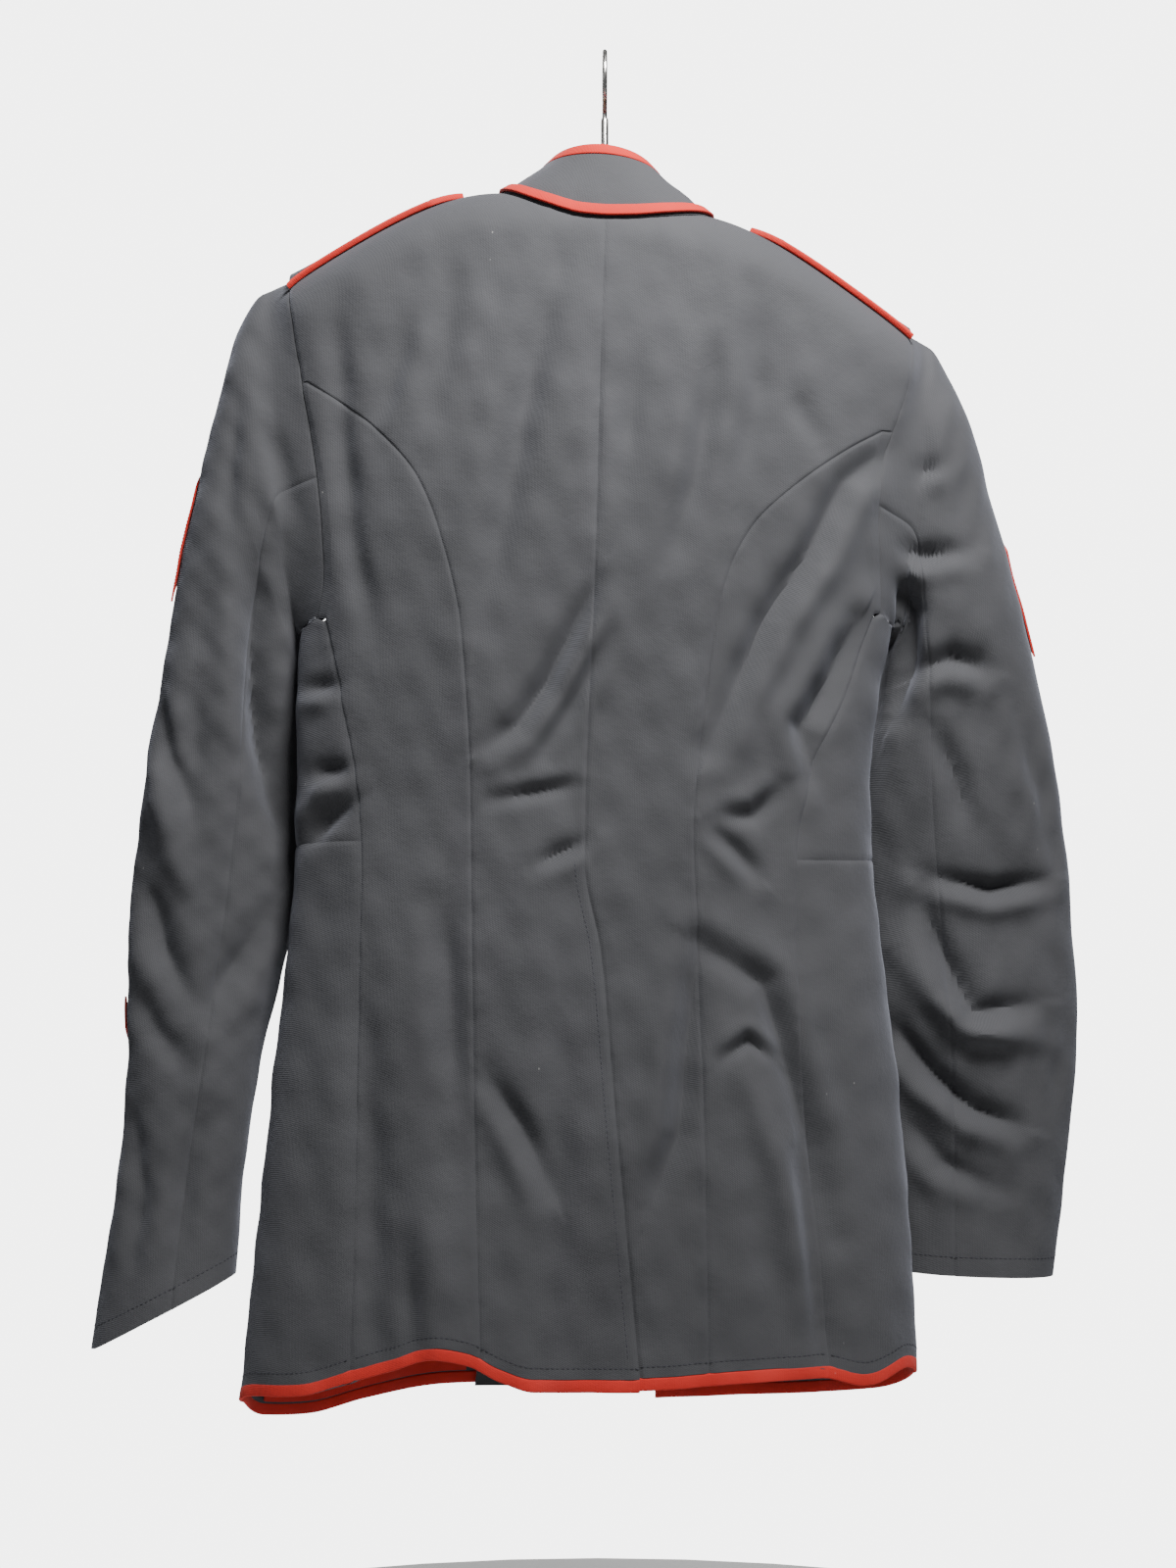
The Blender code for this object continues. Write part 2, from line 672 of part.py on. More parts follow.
def build_body(cloth):
    """Backs, side backs, fronts and skirts."""
    centre = centre_seam()
    for side in SIDES:
        upper, lower = armhole_back(side)
        curved = back_seam(side)
        seam = side_seam(side)
        top = np.concatenate([neckline(side, "back"), shoulder_seam(side, "back")[1:]])
        outer = np.concatenate([upper, curved[1:]])
        bottom = hem_line(centre[-1, 0], curved[-1, 0], BACK_CELLS)
        inner = centre.copy()
        top[0] = inner[0]
        grid = patch(top, bottom, inner, outer)
        lap = vent_lift if side == "left" else vent_sink
        place, out = body_cloth(grid[..., 0], grid[..., 1], lap)
        add_wall(f"back_centre_{side}", draw_in(place, out), out, cloth)

        bottom = hem_line(curved[-1, 0], seam[-1, 0], SIDE_BACK_CELLS)
        grid = patch(lower, bottom, curved, seam)
        place, out = body_cloth(grid[..., 0], grid[..., 1])
        add_wall(f"side_back_{side}", draw_in(place, out), out, cloth)

        outer = np.concatenate([front_outer_edge(side), seam[1:WAIST_CELLS + 1]])
        beside = ARMHOLE_SHARE * np.array(ARMHOLE_STEPS)
        below = np.linspace(FOOT_SHARES[-1], 1, WAIST_CELLS + 1)[1:]
        shares = np.concatenate([beside, FOOT_SHARES, below])
        heights = NECK["front"] + shares * (WAIST["front"] - NECK["front"])
        inner = front_edge(side, heights)
        waist = waist_line(side, inner[-1, 0], outer[-1, 0])
        grid = patch(front_top_edge(side), waist, inner, outer)
        lap = front_sink if side == "right" else None
        place, out = body_cloth(grid[..., 0], grid[..., 1], lap)
        add_wall(f"front_{side}", draw_in(place, out), out, cloth)

        outer = seam[WAIST_CELLS:]
        end_height = SIDES[side]["front_edge"][-1][1]
        inner = front_edge(side, np.linspace(WAIST["front"], end_height, SKIRT_CELLS + 1))
        inner[-1, 1] = hem_height(inner[-1, 0])
        bottom = hem_line(inner[-1, 0], outer[-1, 0], FRONT_CELLS)
        grid = patch(waist, bottom, inner, outer)
        place, out = body_cloth(grid[..., 0], grid[..., 1], lap)
        add_wall(f"front_skirt_{side}", draw_in(place, out), out, cloth)


def build_vent_underlap(cloth):
    """The strip of the right back that passes behind the left one."""
    heights = np.linspace(VENT_TOP - 6, -838, 13)
    shares = np.linspace(0, 1, 4)
    across = vent_edge(heights)[:, None] + (0.6 + (VENT_LAP_WIDTH - 0.6) * shares)[None]
    height = np.broadcast_to(heights[:, None], across.shape)
    angle = angle_of(across, height)
    place, out = body_cloth(angle, height, vent_lift)
    add_wall("vent_underlap", place - out * (WALL + 1.3), out, cloth, 1.6)


def build_hem(cloth, scarlet):
    """Scarlet piping that hangs below the hem, and the facing inside the left front."""
    centre = centre_seam()[-1, 0]
    for side in SIDES:
        curved = back_seam(side)[-1, 0]
        seam = side_seam(side)[-1, 0]
        edge = front_edge(side, np.array([SIDES[side]["front_edge"][-1][1]]))[0, 0]
        side_back = hem_line(curved, seam, SIDE_BACK_CELLS)
        back = np.concatenate([hem_line(centre, curved, BACK_CELLS), side_back[1:]])
        front = hem_line(edge, seam, FRONT_CELLS)
        laps = {"back": vent_lift, "front": None}
        if side == "right":
            laps = {"back": vent_sink, "front": front_sink}
        if side == "right":
            front = front[UNDER_PLAIN_CELLS:]
        for where, line in (("back", back), ("front", front)):
            angle = np.stack([line[:, 0]] * 2)
            height = np.stack([line[:, 1] - GAP, line[:, 1] - HEM_PIPE])
            place, out = body_cloth(angle, height, laps[where])
            place = draw_in(place, out, ("inner", "outer"))
            add_wall(f"hem_piping_{where}_{side}", place, out, scarlet, PIPE_WALL)
        if side == "left":
            line = front[(front[:, 0] > 105) & (front[:, 0] < 166)]
            angle = np.stack([line[:, 0]] * 3)
            height = np.stack([line[:, 1] + 30, line[:, 1] + 15, line[:, 1] + 1])
            place, out = body_cloth(angle, height)
            add_wall("hem_facing_left", place - out * (WALL + 0.8), out, scarlet, 1.2)


def neck_loop():
    """The neck seam all round, from the centre front over the left shoulder to the centre back
    and on, with the direction of the cloth there and a collar angle for each place."""
    quarters = []
    for side, where in (("left", "front"), ("left", "back"), ("right", "back"), ("right", "front")):
        line = neckline(side, where)
        place, out = body_cloth(line[:, 0], line[:, 1])
        share = np.clip((place[:, 0] - 0) / NECK[side], 0, 1)
        turn = np.degrees(np.arcsin(share))
        turn = turn if where == "back" else 180 - turn
        turn = turn * SIDES[side]["sign"]
        rows = list(zip(place, out, turn))
        if (side, where) in (("left", "front"), ("right", "back")):
            quarters.extend(rows[:-1] if (side, where) == ("left", "front") else rows[1:])
        else:
            quarters.extend(rows[::-1] if side == "left" else rows[::-1][1:])
    place = np.array([row[0] for row in quarters])
    out = np.array([row[1] for row in quarters])
    turn = np.array([row[2] for row in quarters])
    return place, out, turn


def collar_top(turn):
    """The collar's top edge at each collar angle."""
    turn = np.radians(turn)
    across = 2 + COLLAR_TOP["half"] * np.sin(turn)
    middle = (COLLAR_TOP["back"] + COLLAR_TOP["front"]) / 2
    deep = middle + (COLLAR_TOP["back"] - middle) * np.cos(turn)
    fall = ((1 - np.cos(turn)) / 2) ** 3
    height = COLLAR_TOP["height"] - COLLAR_TOP["drop"] * fall + COLLAR_TOP["lean"] * across
    return np.stack([across, deep, height], -1)


def build_collar(cloth, scarlet):
    """The standing collar, open at the centre front, and the piping at its foot and top."""
    foot, foot_out, turn = neck_loop()
    foot = foot.copy()
    foot[0, 0] = 1.0
    foot[-1, 0] = -1.0
    top = collar_top(turn)
    top[0, 0] += 1.0
    top[-1, 0] -= 1.0
    rise = top - foot
    run = np.gradient(foot, axis=0)
    out = np.cross(run, rise)
    out /= np.linalg.norm(out, axis=1, keepdims=True)
    centre = np.array([0, -12, 0])
    out *= np.where(np.sum(out * (foot - centre) * (1, 1, 0), 1, keepdims=True) < 0, -1, 1)
    away = np.cross(run, foot_out)
    away /= np.linalg.norm(away, axis=1, keepdims=True)
    away *= np.where(np.sum(away * rise, 1, keepdims=True) < 0, -1, 1)
    base = foot + away * 0.4
    rise = top - base
    rise /= np.linalg.norm(rise, axis=1, keepdims=True)
    shares = np.array([0.0, 0.16, 0.5, 1.0])
    length = np.linalg.norm(top - base, axis=1)
    stand = 1 - (COLLAR_PIPE + GAP) / length
    grid = base[None] + (top - base)[None] * (shares[:, None] * stand[None])[..., None]
    ways = np.stack([foot_out, out, out, out])
    add_wall("collar", grid, ways, cloth, COLLAR_WALL)
    upper = np.stack([top - rise * (COLLAR_PIPE - 0.2), top])
    add_wall("collar_piping_upper", upper + out * 0.5, np.stack([out, out]), scarlet, COLLAR_WALL + 1.0)
    lower = np.stack([base + rise * 0.9, base + rise * (0.9 + COLLAR_PIPE)])
    clear = PIPE_WALL + 1.5
    add_wall("collar_piping_lower", lower + out * clear, np.stack([out, out]), scarlet, PIPE_WALL)


def armhole_loop(side):
    """Armhole columns for the sleeve: place, direction and sleeve angle, from the shoulder
    down the back, round the foot and up the front."""
    upper, lower = armhole_back(side)
    foot = armhole(side, "armhole_foot", np.linspace(0, 1, FOOT_CELLS + 1))
    foot[0] = lower[-1]
    front = armhole(side, "armhole_front", ARMHOLE_STEPS)
    front[-1] = foot[-1]
    line = np.concatenate([upper, lower[1:], foot[1:], front[::-1][1:]])
    place, out = body_cloth(line[:, 0], line[:, 1])
    ring = place[:-1]
    ring_out = out[:-1]
    before = np.roll(ring, 1, axis=0)
    after = np.roll(ring, -1, axis=0)
    away = np.cross(after - before, ring_out)
    away /= np.linalg.norm(away, axis=1, keepdims=True)
    hollow = ring.mean(0) - ring
    away *= np.where(np.sum(away * hollow, -1, keepdims=True) < 0, -1, 1)
    bottom = len(upper) + len(lower) - 1 + FOOT_CELLS - 1
    steps = np.linalg.norm(np.diff(place, axis=0), axis=1)
    run = np.concatenate([[0], np.cumsum(steps)])
    back = 180 * run[:bottom + 1] / run[bottom]
    rest = 180 + 180 * (run[bottom + 1:] - run[bottom]) / (run[-1] - run[bottom])
    turn = np.concatenate([back, rest])[:-1]
    return ring + away * 0.36, away, turn


def sleeve_rows(side, turn, start):
    """The sleeve's sections at given sleeve angles: 0 is the outer edge, 90 the back."""
    table = np.array(SLEEVES[side], float)
    outer = np.stack([table[:, 0], table[:, 4], table[:, 1]], 1)
    inner = np.stack([table[:, 2], table[:, 6], table[:, 3]], 1)
    angle = np.radians(turn)
    middle = (outer + inner)[:, None] / 2
    axis = (outer - inner)[:, None] / 2
    ring = middle + axis * power(np.cos(angle), SLEEVE_EDGE)[None, :, None]
    ring[..., 1] += table[:, 5][:, None] * power(np.sin(angle), SLEEVE_EDGE)[None]
    return np.concatenate([start[None], ring])


def sleeve_grid(side, turn, start, rows):
    """Places on the sleeve at row numbers between its sections, with folds."""
    sections = sleeve_rows(side, turn, start)
    knots = np.arange(len(sections))
    grid = np.empty((len(rows), len(turn), 3))
    for column in range(len(turn)):
        for axis in range(3):
            grid[:, column, axis] = curve_value(knots, sections[:, column, axis], rows)
    ahead = np.roll(grid, -1, axis=1) - np.roll(grid, 1, axis=1)
    down = np.gradient(grid, axis=0)
    out = np.cross(down, ahead)
    out /= np.linalg.norm(out, axis=-1, keepdims=True)
    middle = grid.mean(1, keepdims=True)
    out *= np.where(np.sum(out * (grid - middle), -1, keepdims=True) < 0, -1, 1)
    facing = np.clip(1.6 * np.sin(np.radians(turn)), 0, 1)[None]
    fade = smooth_step(np.asarray(rows) / 1.6)[:, None]
    cuff = smooth_step((len(sections) - 1 - np.asarray(rows)) / 1.5)[:, None]
    lift = fold_lift(SLEEVE_FOLDS[side], grid[..., 0], grid[..., 2]) * facing * fade * cuff
    return grid + out * lift[..., None], out


def build_sleeves(cloth):
    """Top and under sleeves, each a length of the same tube."""
    for side in SIDES:
        start, away, turn = armhole_loop(side)
        rows = np.linspace(0, len(SLEEVES[side]), SLEEVE_CELLS + 1)
        grid, out = sleeve_grid(side, turn, start, rows)
        leaning = np.maximum(np.sum(out[1] * away, -1, keepdims=True), 0)
        out[0] = out[1] - leaning * away
        out[0] /= np.linalg.norm(out[0], axis=-1, keepdims=True)
        count = len(turn)
        back = BACK_SEAM_COLUMN
        front = count - FRONT_SEAM_COLUMN
        under = np.arange(back, front + 1)
        over = np.concatenate([np.arange(front, count), np.arange(0, back + 1)])
        for name, columns in (("under_sleeve", under), ("top_sleeve", over)):
            place = draw_in(grid[:, columns], out[:, columns], ("inner", "outer"))
            add_wall(f"{name}_{side}", place, out[:, columns], cloth)


def sleeve_surface(side, turn, rows):
    """Places and directions on the sleeve at any sleeve angle and row number."""
    start, _, loop = armhole_loop(side)
    loop = np.concatenate([loop - 360, loop, loop + 360])
    ring = np.concatenate([start] * 3)
    turns = np.linspace(0, 360, 145)[:-1]
    first = np.stack([np.interp(turns, loop, ring[:, i]) for i in range(3)], 1)
    levels = np.linspace(0, len(SLEEVES[side]), 105)
    grid, out = sleeve_grid(side, turns, first, levels)
    column = (np.asarray(turn) % 360) / 2.5
    row = np.asarray(rows) * 8
    c0 = np.floor(column).astype(int)
    r0 = np.clip(np.floor(row).astype(int), 0, len(levels) - 2)
    fc = (column - c0)[..., None]
    fr = (row - r0)[..., None]
    c0 %= 144
    c1 = (c0 + 1) % 144

    def read(field):
        upper = field[r0, c0] * (1 - fc) + field[r0, c1] * fc
        lower = field[r0 + 1, c0] * (1 - fc) + field[r0 + 1, c1] * fc
        return upper * (1 - fr) + lower * fr

    direction = read(out)
    return read(grid), direction / np.linalg.norm(direction, axis=-1, keepdims=True)


def build_patches(scarlet):
    """Chevron patches on the upper sleeves and one slanted stripe on the lower left sleeve."""
    places = {
        # sleeve angle at the back edge and front edge, row at the point, rows high, rows down the arms
        "left": (11, -95, 3.3, 1.15, 0.85),
        "right": (4, -102, 3.6, 1.15, 0.85),
    }
    for side, (back, front, point, high, arms) in places.items():
        across = np.linspace(0, 1, 15)
        down = np.linspace(0, 1, 5)
        turn = np.broadcast_to(back + (front - back) * across, (5, 15))
        rows = point + high * down[:, None] + arms * np.abs(2 * across - 1)[None]
        place, out = sleeve_surface(side, turn, rows)
        add_wall(f"chevron_patch_{side}", place + out * 2.4, out, scarlet, 1.4)
    across = np.linspace(0, 1, 9)
    turn = np.broadcast_to(4 - 88 * across, (3, 9))
    rows = 8.72 + 0.9 * across[None] + 0.28 * np.linspace(0, 1, 3)[:, None]
    place, out = sleeve_surface("left", turn, rows)
    add_wall("sleeve_stripe_left", place + out * 2.2, out, scarlet, 1.4)


def shoulder_top(across, deep):
    """Height of the shoulder's top at a place seen from above."""
    ridge = ridge_height(across)
    middle, half, back, front = body_row(ridge)
    turn = np.arcsin(np.clip(np.abs((across - middle) / half) ** (1 / EDGE), 0, 0.97))
    reach = np.where(deep > 0, back, front) * np.cos(turn) ** EDGE
    share = np.clip(np.abs(deep) / reach, 0, 0.97)
    return ridge - SHOULDER_ROUND * (1 - np.sqrt(1 - share**2))


def strap_surface(across, deep):
    """Places on top of the shoulder and the directions out of them."""
    step = 0.5
    height = shoulder_top(across, deep)
    slope_x = (shoulder_top(across + step, deep) - shoulder_top(across - step, deep)) / (2 * step)
    slope_y = (shoulder_top(across, deep + step) - shoulder_top(across, deep - step)) / (2 * step)
    out = np.stack([-slope_x, -slope_y, np.ones_like(slope_x)], -1)
    out /= np.linalg.norm(out, axis=-1, keepdims=True)
    return np.stack([across, deep, height], -1), out


def strap_outline(side):
    """Along the strap and half its width there: even, then drawn in to a blunt point."""
    sign = SIDES[side]["sign"]
    start = SIDES[side]["shoulder"][0] - sign * STRAP["inset"]
    end = NECK[side] + sign * STRAP["neck"]
    length = abs(start - end)
    even = length - STRAP["point"]
    run = np.append(np.linspace(0, even, 8), (even + STRAP["point"] / 2, length))
    taper = np.clip((length - run) / STRAP["point"], 0, 1)
    half = STRAP["half"] * (0.35 + 0.65 * taper)
    return start - sign * run, half


def build_straps(cloth, scarlet, brass):
    """Shoulder straps, the scarlet piping round them and a small button near the point."""
    for side in SIDES:
        sign = SIDES[side]["sign"]
        across, half = strap_outline(side)
        shares = np.linspace(-1, 1, 7)
        rim = STRAP["rim"] + GAP
        core = half - rim
        inner_across = across.copy()
        inner_across[-1] += sign * rim
        grid_x = np.broadcast_to(inner_across[:, None], (len(across), 7))
        grid_y = core[:, None] * shares[None]
        place, out = strap_surface(grid_x, grid_y)
        upper = place + out * (STRAP["wall"] + STRAP_CLEAR)
        add_wall(f"shoulder_strap_{side}", upper, out, cloth, STRAP["wall"])
        # The rim runs down one long side, round the point and back.
        near = np.stack([across, -half], 1), np.stack([across, half], 1)[::-1]
        away = np.stack([inner_across, -core - GAP], 1), np.stack([inner_across, core + GAP], 1)[::-1]
        near, away = np.concatenate(near), np.concatenate(away)
        away[len(across) - 1, 0] -= sign * GAP
        away[len(across), 0] -= sign * GAP
        flat = np.stack([near, away])
        place, out = strap_surface(flat[..., 0], flat[..., 1])
        upper = place + out * (STRAP["rim_wall"] + STRAP_CLEAR - 0.1)
        add_wall(f"strap_piping_{side}", upper, out, scarlet, STRAP["rim_wall"])
        spot = np.array(across[-1] + sign * STRAP_BUTTON_FROM_POINT)
        place, out = strap_surface(spot, np.array(0.0))
        centre = place + out * (STRAP["wall"] + STRAP_CLEAR + 0.5)
        add_button(f"strap_button_{side}", centre, out, STRAP_BUTTON_RADIUS, STRAP_BUTTON_RISE, brass)


def add_button(name, centre, axis, radius, rise, material):
    """A plain domed button: a short rim and a round top, turned about its axis."""
    axis = axis / np.linalg.norm(axis)
    side = np.cross(axis, (0.0, 0.0, 1.0) if abs(axis[2]) < 0.8 else (1.0, 0.0, 0.0))
    side /= np.linalg.norm(side)
    other = np.cross(axis, side)
    profile = [(BUTTON_FOOT, 0.0), (1.0, 0.22)]
    profile += [(math.cos(a), 0.3 + 0.7 * math.sin(a)) for a in np.radians([12, 38, 62, 80])]
    around = np.linspace(0, 2 * math.pi, 15)[:-1]
    rings = []
    for share, height in profile:
        circle = np.cos(around)[:, None] * side + np.sin(around)[:, None] * other
        rings.append(centre + radius * share * circle + rise * height * axis)
    add_loft(name, rings, material)


def build_front_buttons(brass):
    """The row of buttons down the left front."""
    for number in range(FRONT_BUTTONS):
        height = FRONT_BUTTON_TOP - FRONT_BUTTON_PITCH * number
        spots = np.linspace(-BUTTON_FOOT, BUTTON_FOOT, 5) * BUTTON_RADIUS
        across, rise = np.repeat(spots, 5), np.tile(spots, 5)
        place, _ = body_cloth(front_angle_of(across, height + rise, 1), height + rise)
        front = place[:, 1].min() - BUTTON_CLEAR
        centre = np.array([0.0, front, height])
        forward = np.array([0.0, -1.0, 0.0])
        add_button(f"front_button_{number + 1}", centre, forward, BUTTON_RADIUS, BUTTON_RISE, brass)


def tube_rings(path, radius, around=10):
    """Round sections along a path that lies in the plane across the coat's middle."""
    path = np.asarray(path, float)
    run = np.gradient(path, axis=0)
    run /= np.linalg.norm(run, axis=1, keepdims=True)
    side = np.array([1.0, 0.0, 0.0])
    other = np.cross(run, side)
    turn = np.linspace(0, 2 * math.pi, around + 1)[:-1]
    return path[:, None] + radius * (
        np.cos(turn)[None, :, None] * side + np.sin(turn)[None, :, None] * other[:, None]
    )


def build_hanger(steel, wood):
    """The bar inside the shoulders, the ferrule at its middle and the wire hook."""
    across = np.linspace(*BAR_ENDS, 25)
    top = ridge_height(across) - BAR_DROP
    ends = np.minimum(across - across[0], across[-1] - across)
    size = np.sqrt(np.clip(1 - (1 - np.clip(ends / 12, 0, 1)) ** 2, 0.12, 1))
    turn = np.linspace(0, 2 * math.pi, 13)[:-1] + math.pi / 12
    rings = []
    for x, z, share in zip(across, top, size):
        deep = BAR_HALF_WIDTH * share * np.cos(turn)
        high = z - BAR_HALF_HEIGHT * share + BAR_HALF_HEIGHT * share * np.sin(turn)
        rings.append(np.stack([np.full(12, x), deep, high], 1))
    add_loft("hanger_bar", rings, wood)
    foot = ridge_height(0.0) - BAR_DROP + GAP
    middle = float(np.mean([foot, FERRULE_TOP]))
    stem = [(0, 0, foot), (0, 0, middle), (0, 0, FERRULE_TOP)]
    add_loft("hanger_ferrule", tube_rings(stem, FERRULE, 12), steel)
    reach = HOOK_INSIDE + HOOK_WIRE
    arc = [
        (0, reach * math.cos(a), -HOOK_INSIDE + reach * math.sin(a))
        for a in np.radians(np.linspace(-50, 205, 22))
    ]
    bend = [(0, 0, FERRULE_TOP + GAP), (0, 0.6, FERRULE_TOP + 3), (0, 4.5, FERRULE_TOP + 6.5)]
    path = along_path(bend + arc, np.linspace(0, 1, 40))
    add_loft("hanger_hook", tube_rings(path, HOOK_WIRE, 10), steel)


def main():
    """Builds the coat and its hanger."""
    clear_scene()
    cloth, scarlet, brass, steel, wood = (make_material(name) for name in MATERIALS)
    build_body(cloth)
    build_vent_underlap(cloth)
    build_hem(cloth, scarlet)
    build_collar(cloth, scarlet)
    build_sleeves(cloth)
    build_patches(scarlet)
    build_straps(cloth, scarlet, brass)
    build_front_buttons(brass)
    build_hanger(steel, wood)


main()
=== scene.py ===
"""Looks of a dress blues coat that hangs on a wooden hanger with a wire hook.

Each cut piece of the coat is a thin shell on its solid's form, with its own creases, seams,
stitches and weave. Sizes in the tables are millimetres in the coat's frame: the hook's inside
top is the origin, +Z is up, the back faces +Y and the wearer's left is +X.
"""

import logging
import math
from collections.abc import Callable, Sequence
from dataclasses import dataclass, field
from enum import Enum

import bpy
import numpy as np
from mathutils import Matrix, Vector


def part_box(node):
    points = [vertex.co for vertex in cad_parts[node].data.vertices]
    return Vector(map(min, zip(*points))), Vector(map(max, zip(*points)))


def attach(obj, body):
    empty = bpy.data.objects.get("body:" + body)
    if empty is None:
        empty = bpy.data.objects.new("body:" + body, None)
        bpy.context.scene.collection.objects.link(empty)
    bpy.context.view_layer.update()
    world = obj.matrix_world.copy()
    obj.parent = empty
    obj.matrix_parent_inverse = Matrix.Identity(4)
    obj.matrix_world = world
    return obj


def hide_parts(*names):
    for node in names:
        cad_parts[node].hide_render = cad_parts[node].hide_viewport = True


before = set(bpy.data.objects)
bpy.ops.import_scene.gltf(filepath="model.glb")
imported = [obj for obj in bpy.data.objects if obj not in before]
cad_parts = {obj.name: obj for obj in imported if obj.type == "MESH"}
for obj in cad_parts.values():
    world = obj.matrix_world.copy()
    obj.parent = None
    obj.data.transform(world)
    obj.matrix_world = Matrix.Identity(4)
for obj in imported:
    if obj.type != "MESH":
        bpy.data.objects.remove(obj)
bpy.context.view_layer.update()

MM = 0.001
LOG = logging.getLogger("coat")
Array = np.ndarray
Line = Sequence[tuple[float, float]]
Lap = Callable[[Array, Array], Array]
Triple = tuple[float, float, float]

# Distances from the shoulder at which an armhole's cells start small and grow.
SHOULDER_STEPS = (0, 0.1, 0.4, 0.9, 1.6, 2.6, 3.9, 5.5, 7.4, 9.6, 12.2, 15.0, 18.2)
SHOULDER_EVEN = 21.5
ARMHOLE_LENGTH = 236.0
# Millimetres that a degree and a millimetre of height stand for, where the two are weighed together.
ARMHOLE_SCALE = (2.2, 1.0)
PANEL_SCALE = (3.4, 1.0)


class Side(Enum):
    """The wearer's left or right, with the sign of X there."""

    LEFT = 1
    RIGHT = -1

    @property
    def word(self) -> str:
        """The side as it stands in a node's name."""
        return self.name.lower()


class Face(Enum):
    """The back or the front of the coat."""

    BACK = "back"
    FRONT = "front"


class Dye(Enum):
    """A cloth's colour, with a slot name as its value."""

    NAVY = "cloth_navy"
    SCARLET = "piping_scarlet"


def curve_value(knots: Array, values: Array, at: Array) -> Array:
    """Reads a smooth curve with no overshoot.

    Args:
        knots: increasing places of the known values.
        values: the values there; further axes are carried along.
        at: places to read.
    Returns:
        The values there, shaped like at followed by the further axes.
    """
    knots = np.asarray(knots, float)
    values = np.asarray(values, float)
    extra = (1,) * (values.ndim - 1)
    steps = np.diff(knots).reshape(-1, *extra)
    rises = np.diff(values, axis=0) / steps
    slopes = np.zeros_like(values)
    turning = rises[:-1] * rises[1:] > 0
    both = np.where(turning, rises[:-1] + rises[1:], 1.0)
    slopes[1:-1] = np.where(turning, 2 * rises[:-1] * rises[1:] / both, 0.0)
    slopes[0], slopes[-1] = rises[0], rises[-1]
    at = np.clip(np.asarray(at, float), knots[0], knots[-1])
    cell = np.clip(np.searchsorted(knots, at, side="right") - 1, 0, len(knots) - 2)
    step = np.diff(knots)[cell].reshape(at.shape + extra)
    t = (at - knots[cell]).reshape(at.shape + extra) / step
    start = values[cell] * (1 + 2 * t) * (1 - t) ** 2 + slopes[cell] * step * t * (1 - t) ** 2
    end = values[cell + 1] * t * t * (3 - 2 * t) + slopes[cell + 1] * step * t * t * (t - 1)
    return start + end


def smooth_step(value: Array) -> Array:
    """Nought to one, with soft ends."""
    value = np.clip(value, 0, 1)
    return value * value * (3 - 2 * value)


def signed_power(value: Array, exponent: float) -> Array:
    """A power that keeps its sign."""
    return np.sign(value) * np.abs(value) ** exponent


def unit(vectors: Array) -> Array:
    """The same directions with length one."""
    return vectors / np.maximum(np.linalg.norm(vectors, axis=-1, keepdims=True), 1e-9)


def turned_to(vectors: Array, guide: Array) -> Array:
    """The same directions, turned over where they point away from a guide."""
    return vectors * np.where(np.sum(vectors * guide, -1, keepdims=True) < 0, -1, 1)


def run_length(line: Array) -> Array:
    """Distance along a line at each of its points."""
    return np.concatenate([[0], np.cumsum(np.linalg.norm(np.diff(line, axis=0), axis=1))])


def read_columns(at: Array, knots: Array, values: Array) -> Array:
    """Each column of values, read between its knots."""
    return np.stack([np.interp(at, knots, column) for column in values.T], 1)


def round_steps(count: int) -> Array:
    """Even angles round a circle, in radians."""
    return np.linspace(0, math.tau, count + 1)[:-1]


def along(points: Sequence[Sequence[float]], fractions: Array) -> Array:
    """Places at fractions of the length of a smooth path.

    Args:
        points: what the path passes through.
        fractions: from 0 to 1.
    Returns:
        One row of coordinates for each fraction.
    """
    points = np.asarray(points, float)
    knots = run_length(points)
    track = curve_value(knots, points, np.linspace(0, knots[-1], 800))
    length = run_length(track)
    return read_columns(np.asarray(fractions) * length[-1], length, track)


def seam_steps(length: float, cell: float, soft: Sequence[float] = (0.0, 0.8, 1.8, 3.2)) -> Array:
    """Fractions of a length, even inside and close together beside its two ends.

    Args:
        length: in millimetres.
        cell: the even spacing, in millimetres.
        soft: distances from each end that also get a place.
    Returns:
        Increasing fractions from 0 to 1.
    """
    ends = np.asarray(soft)
    inside = np.linspace(ends[-1], length - ends[-1], max(3, round((length - 2 * ends[-1]) / cell) + 1))
    return np.concatenate([ends[:-1], inside, length - ends[:-1][::-1]]) / length


def shoulder_steps(length: float, cell: float, spare: float = 0.0) -> Array:
    """Fractions down an edge, close together at the shoulder.

    Args:
        length: the edge's length, in millimetres.
        cell: the even spacing, in millimetres.
        spare: the even places end before this distance from the foot.
    Returns:
        Increasing fractions from 0 to 1.
    """
    return np.concatenate([SHOULDER_STEPS, np.arange(SHOULDER_EVEN, length - spare, cell), [length]]) / length


def shade(colour: Triple, factor: float = 1.0) -> tuple[float, ...]:
    """A colour made lighter or darker, with full alpha."""
    return (*(part * factor for part in colour), 1)


@dataclass(frozen=True)
class Ripple:
    """Uneven waves of a given height and length, the same on each run."""

    height: float
    length: float
    seed: int
    stretch: float = 1.0

    def lift(self, across: Array, height: Array) -> Array:
        """The waves' height at places seen flat.

        Args:
            across: X of each place.
            height: Z of each place.
        Returns:
            How far they lift the cloth.
        """
        rng = np.random.default_rng(self.seed)
        total = np.zeros(np.shape(across))
        for _ in range(9):
            turn = rng.uniform(0, math.tau)
            rate = math.tau / (self.length * rng.uniform(0.6, 1.7))
            phase = rng.uniform(0, math.tau)
            total += np.sin(rate * (across * math.cos(turn) + height * math.sin(turn) / self.stretch) + phase)
        return self.height * total / 3.0


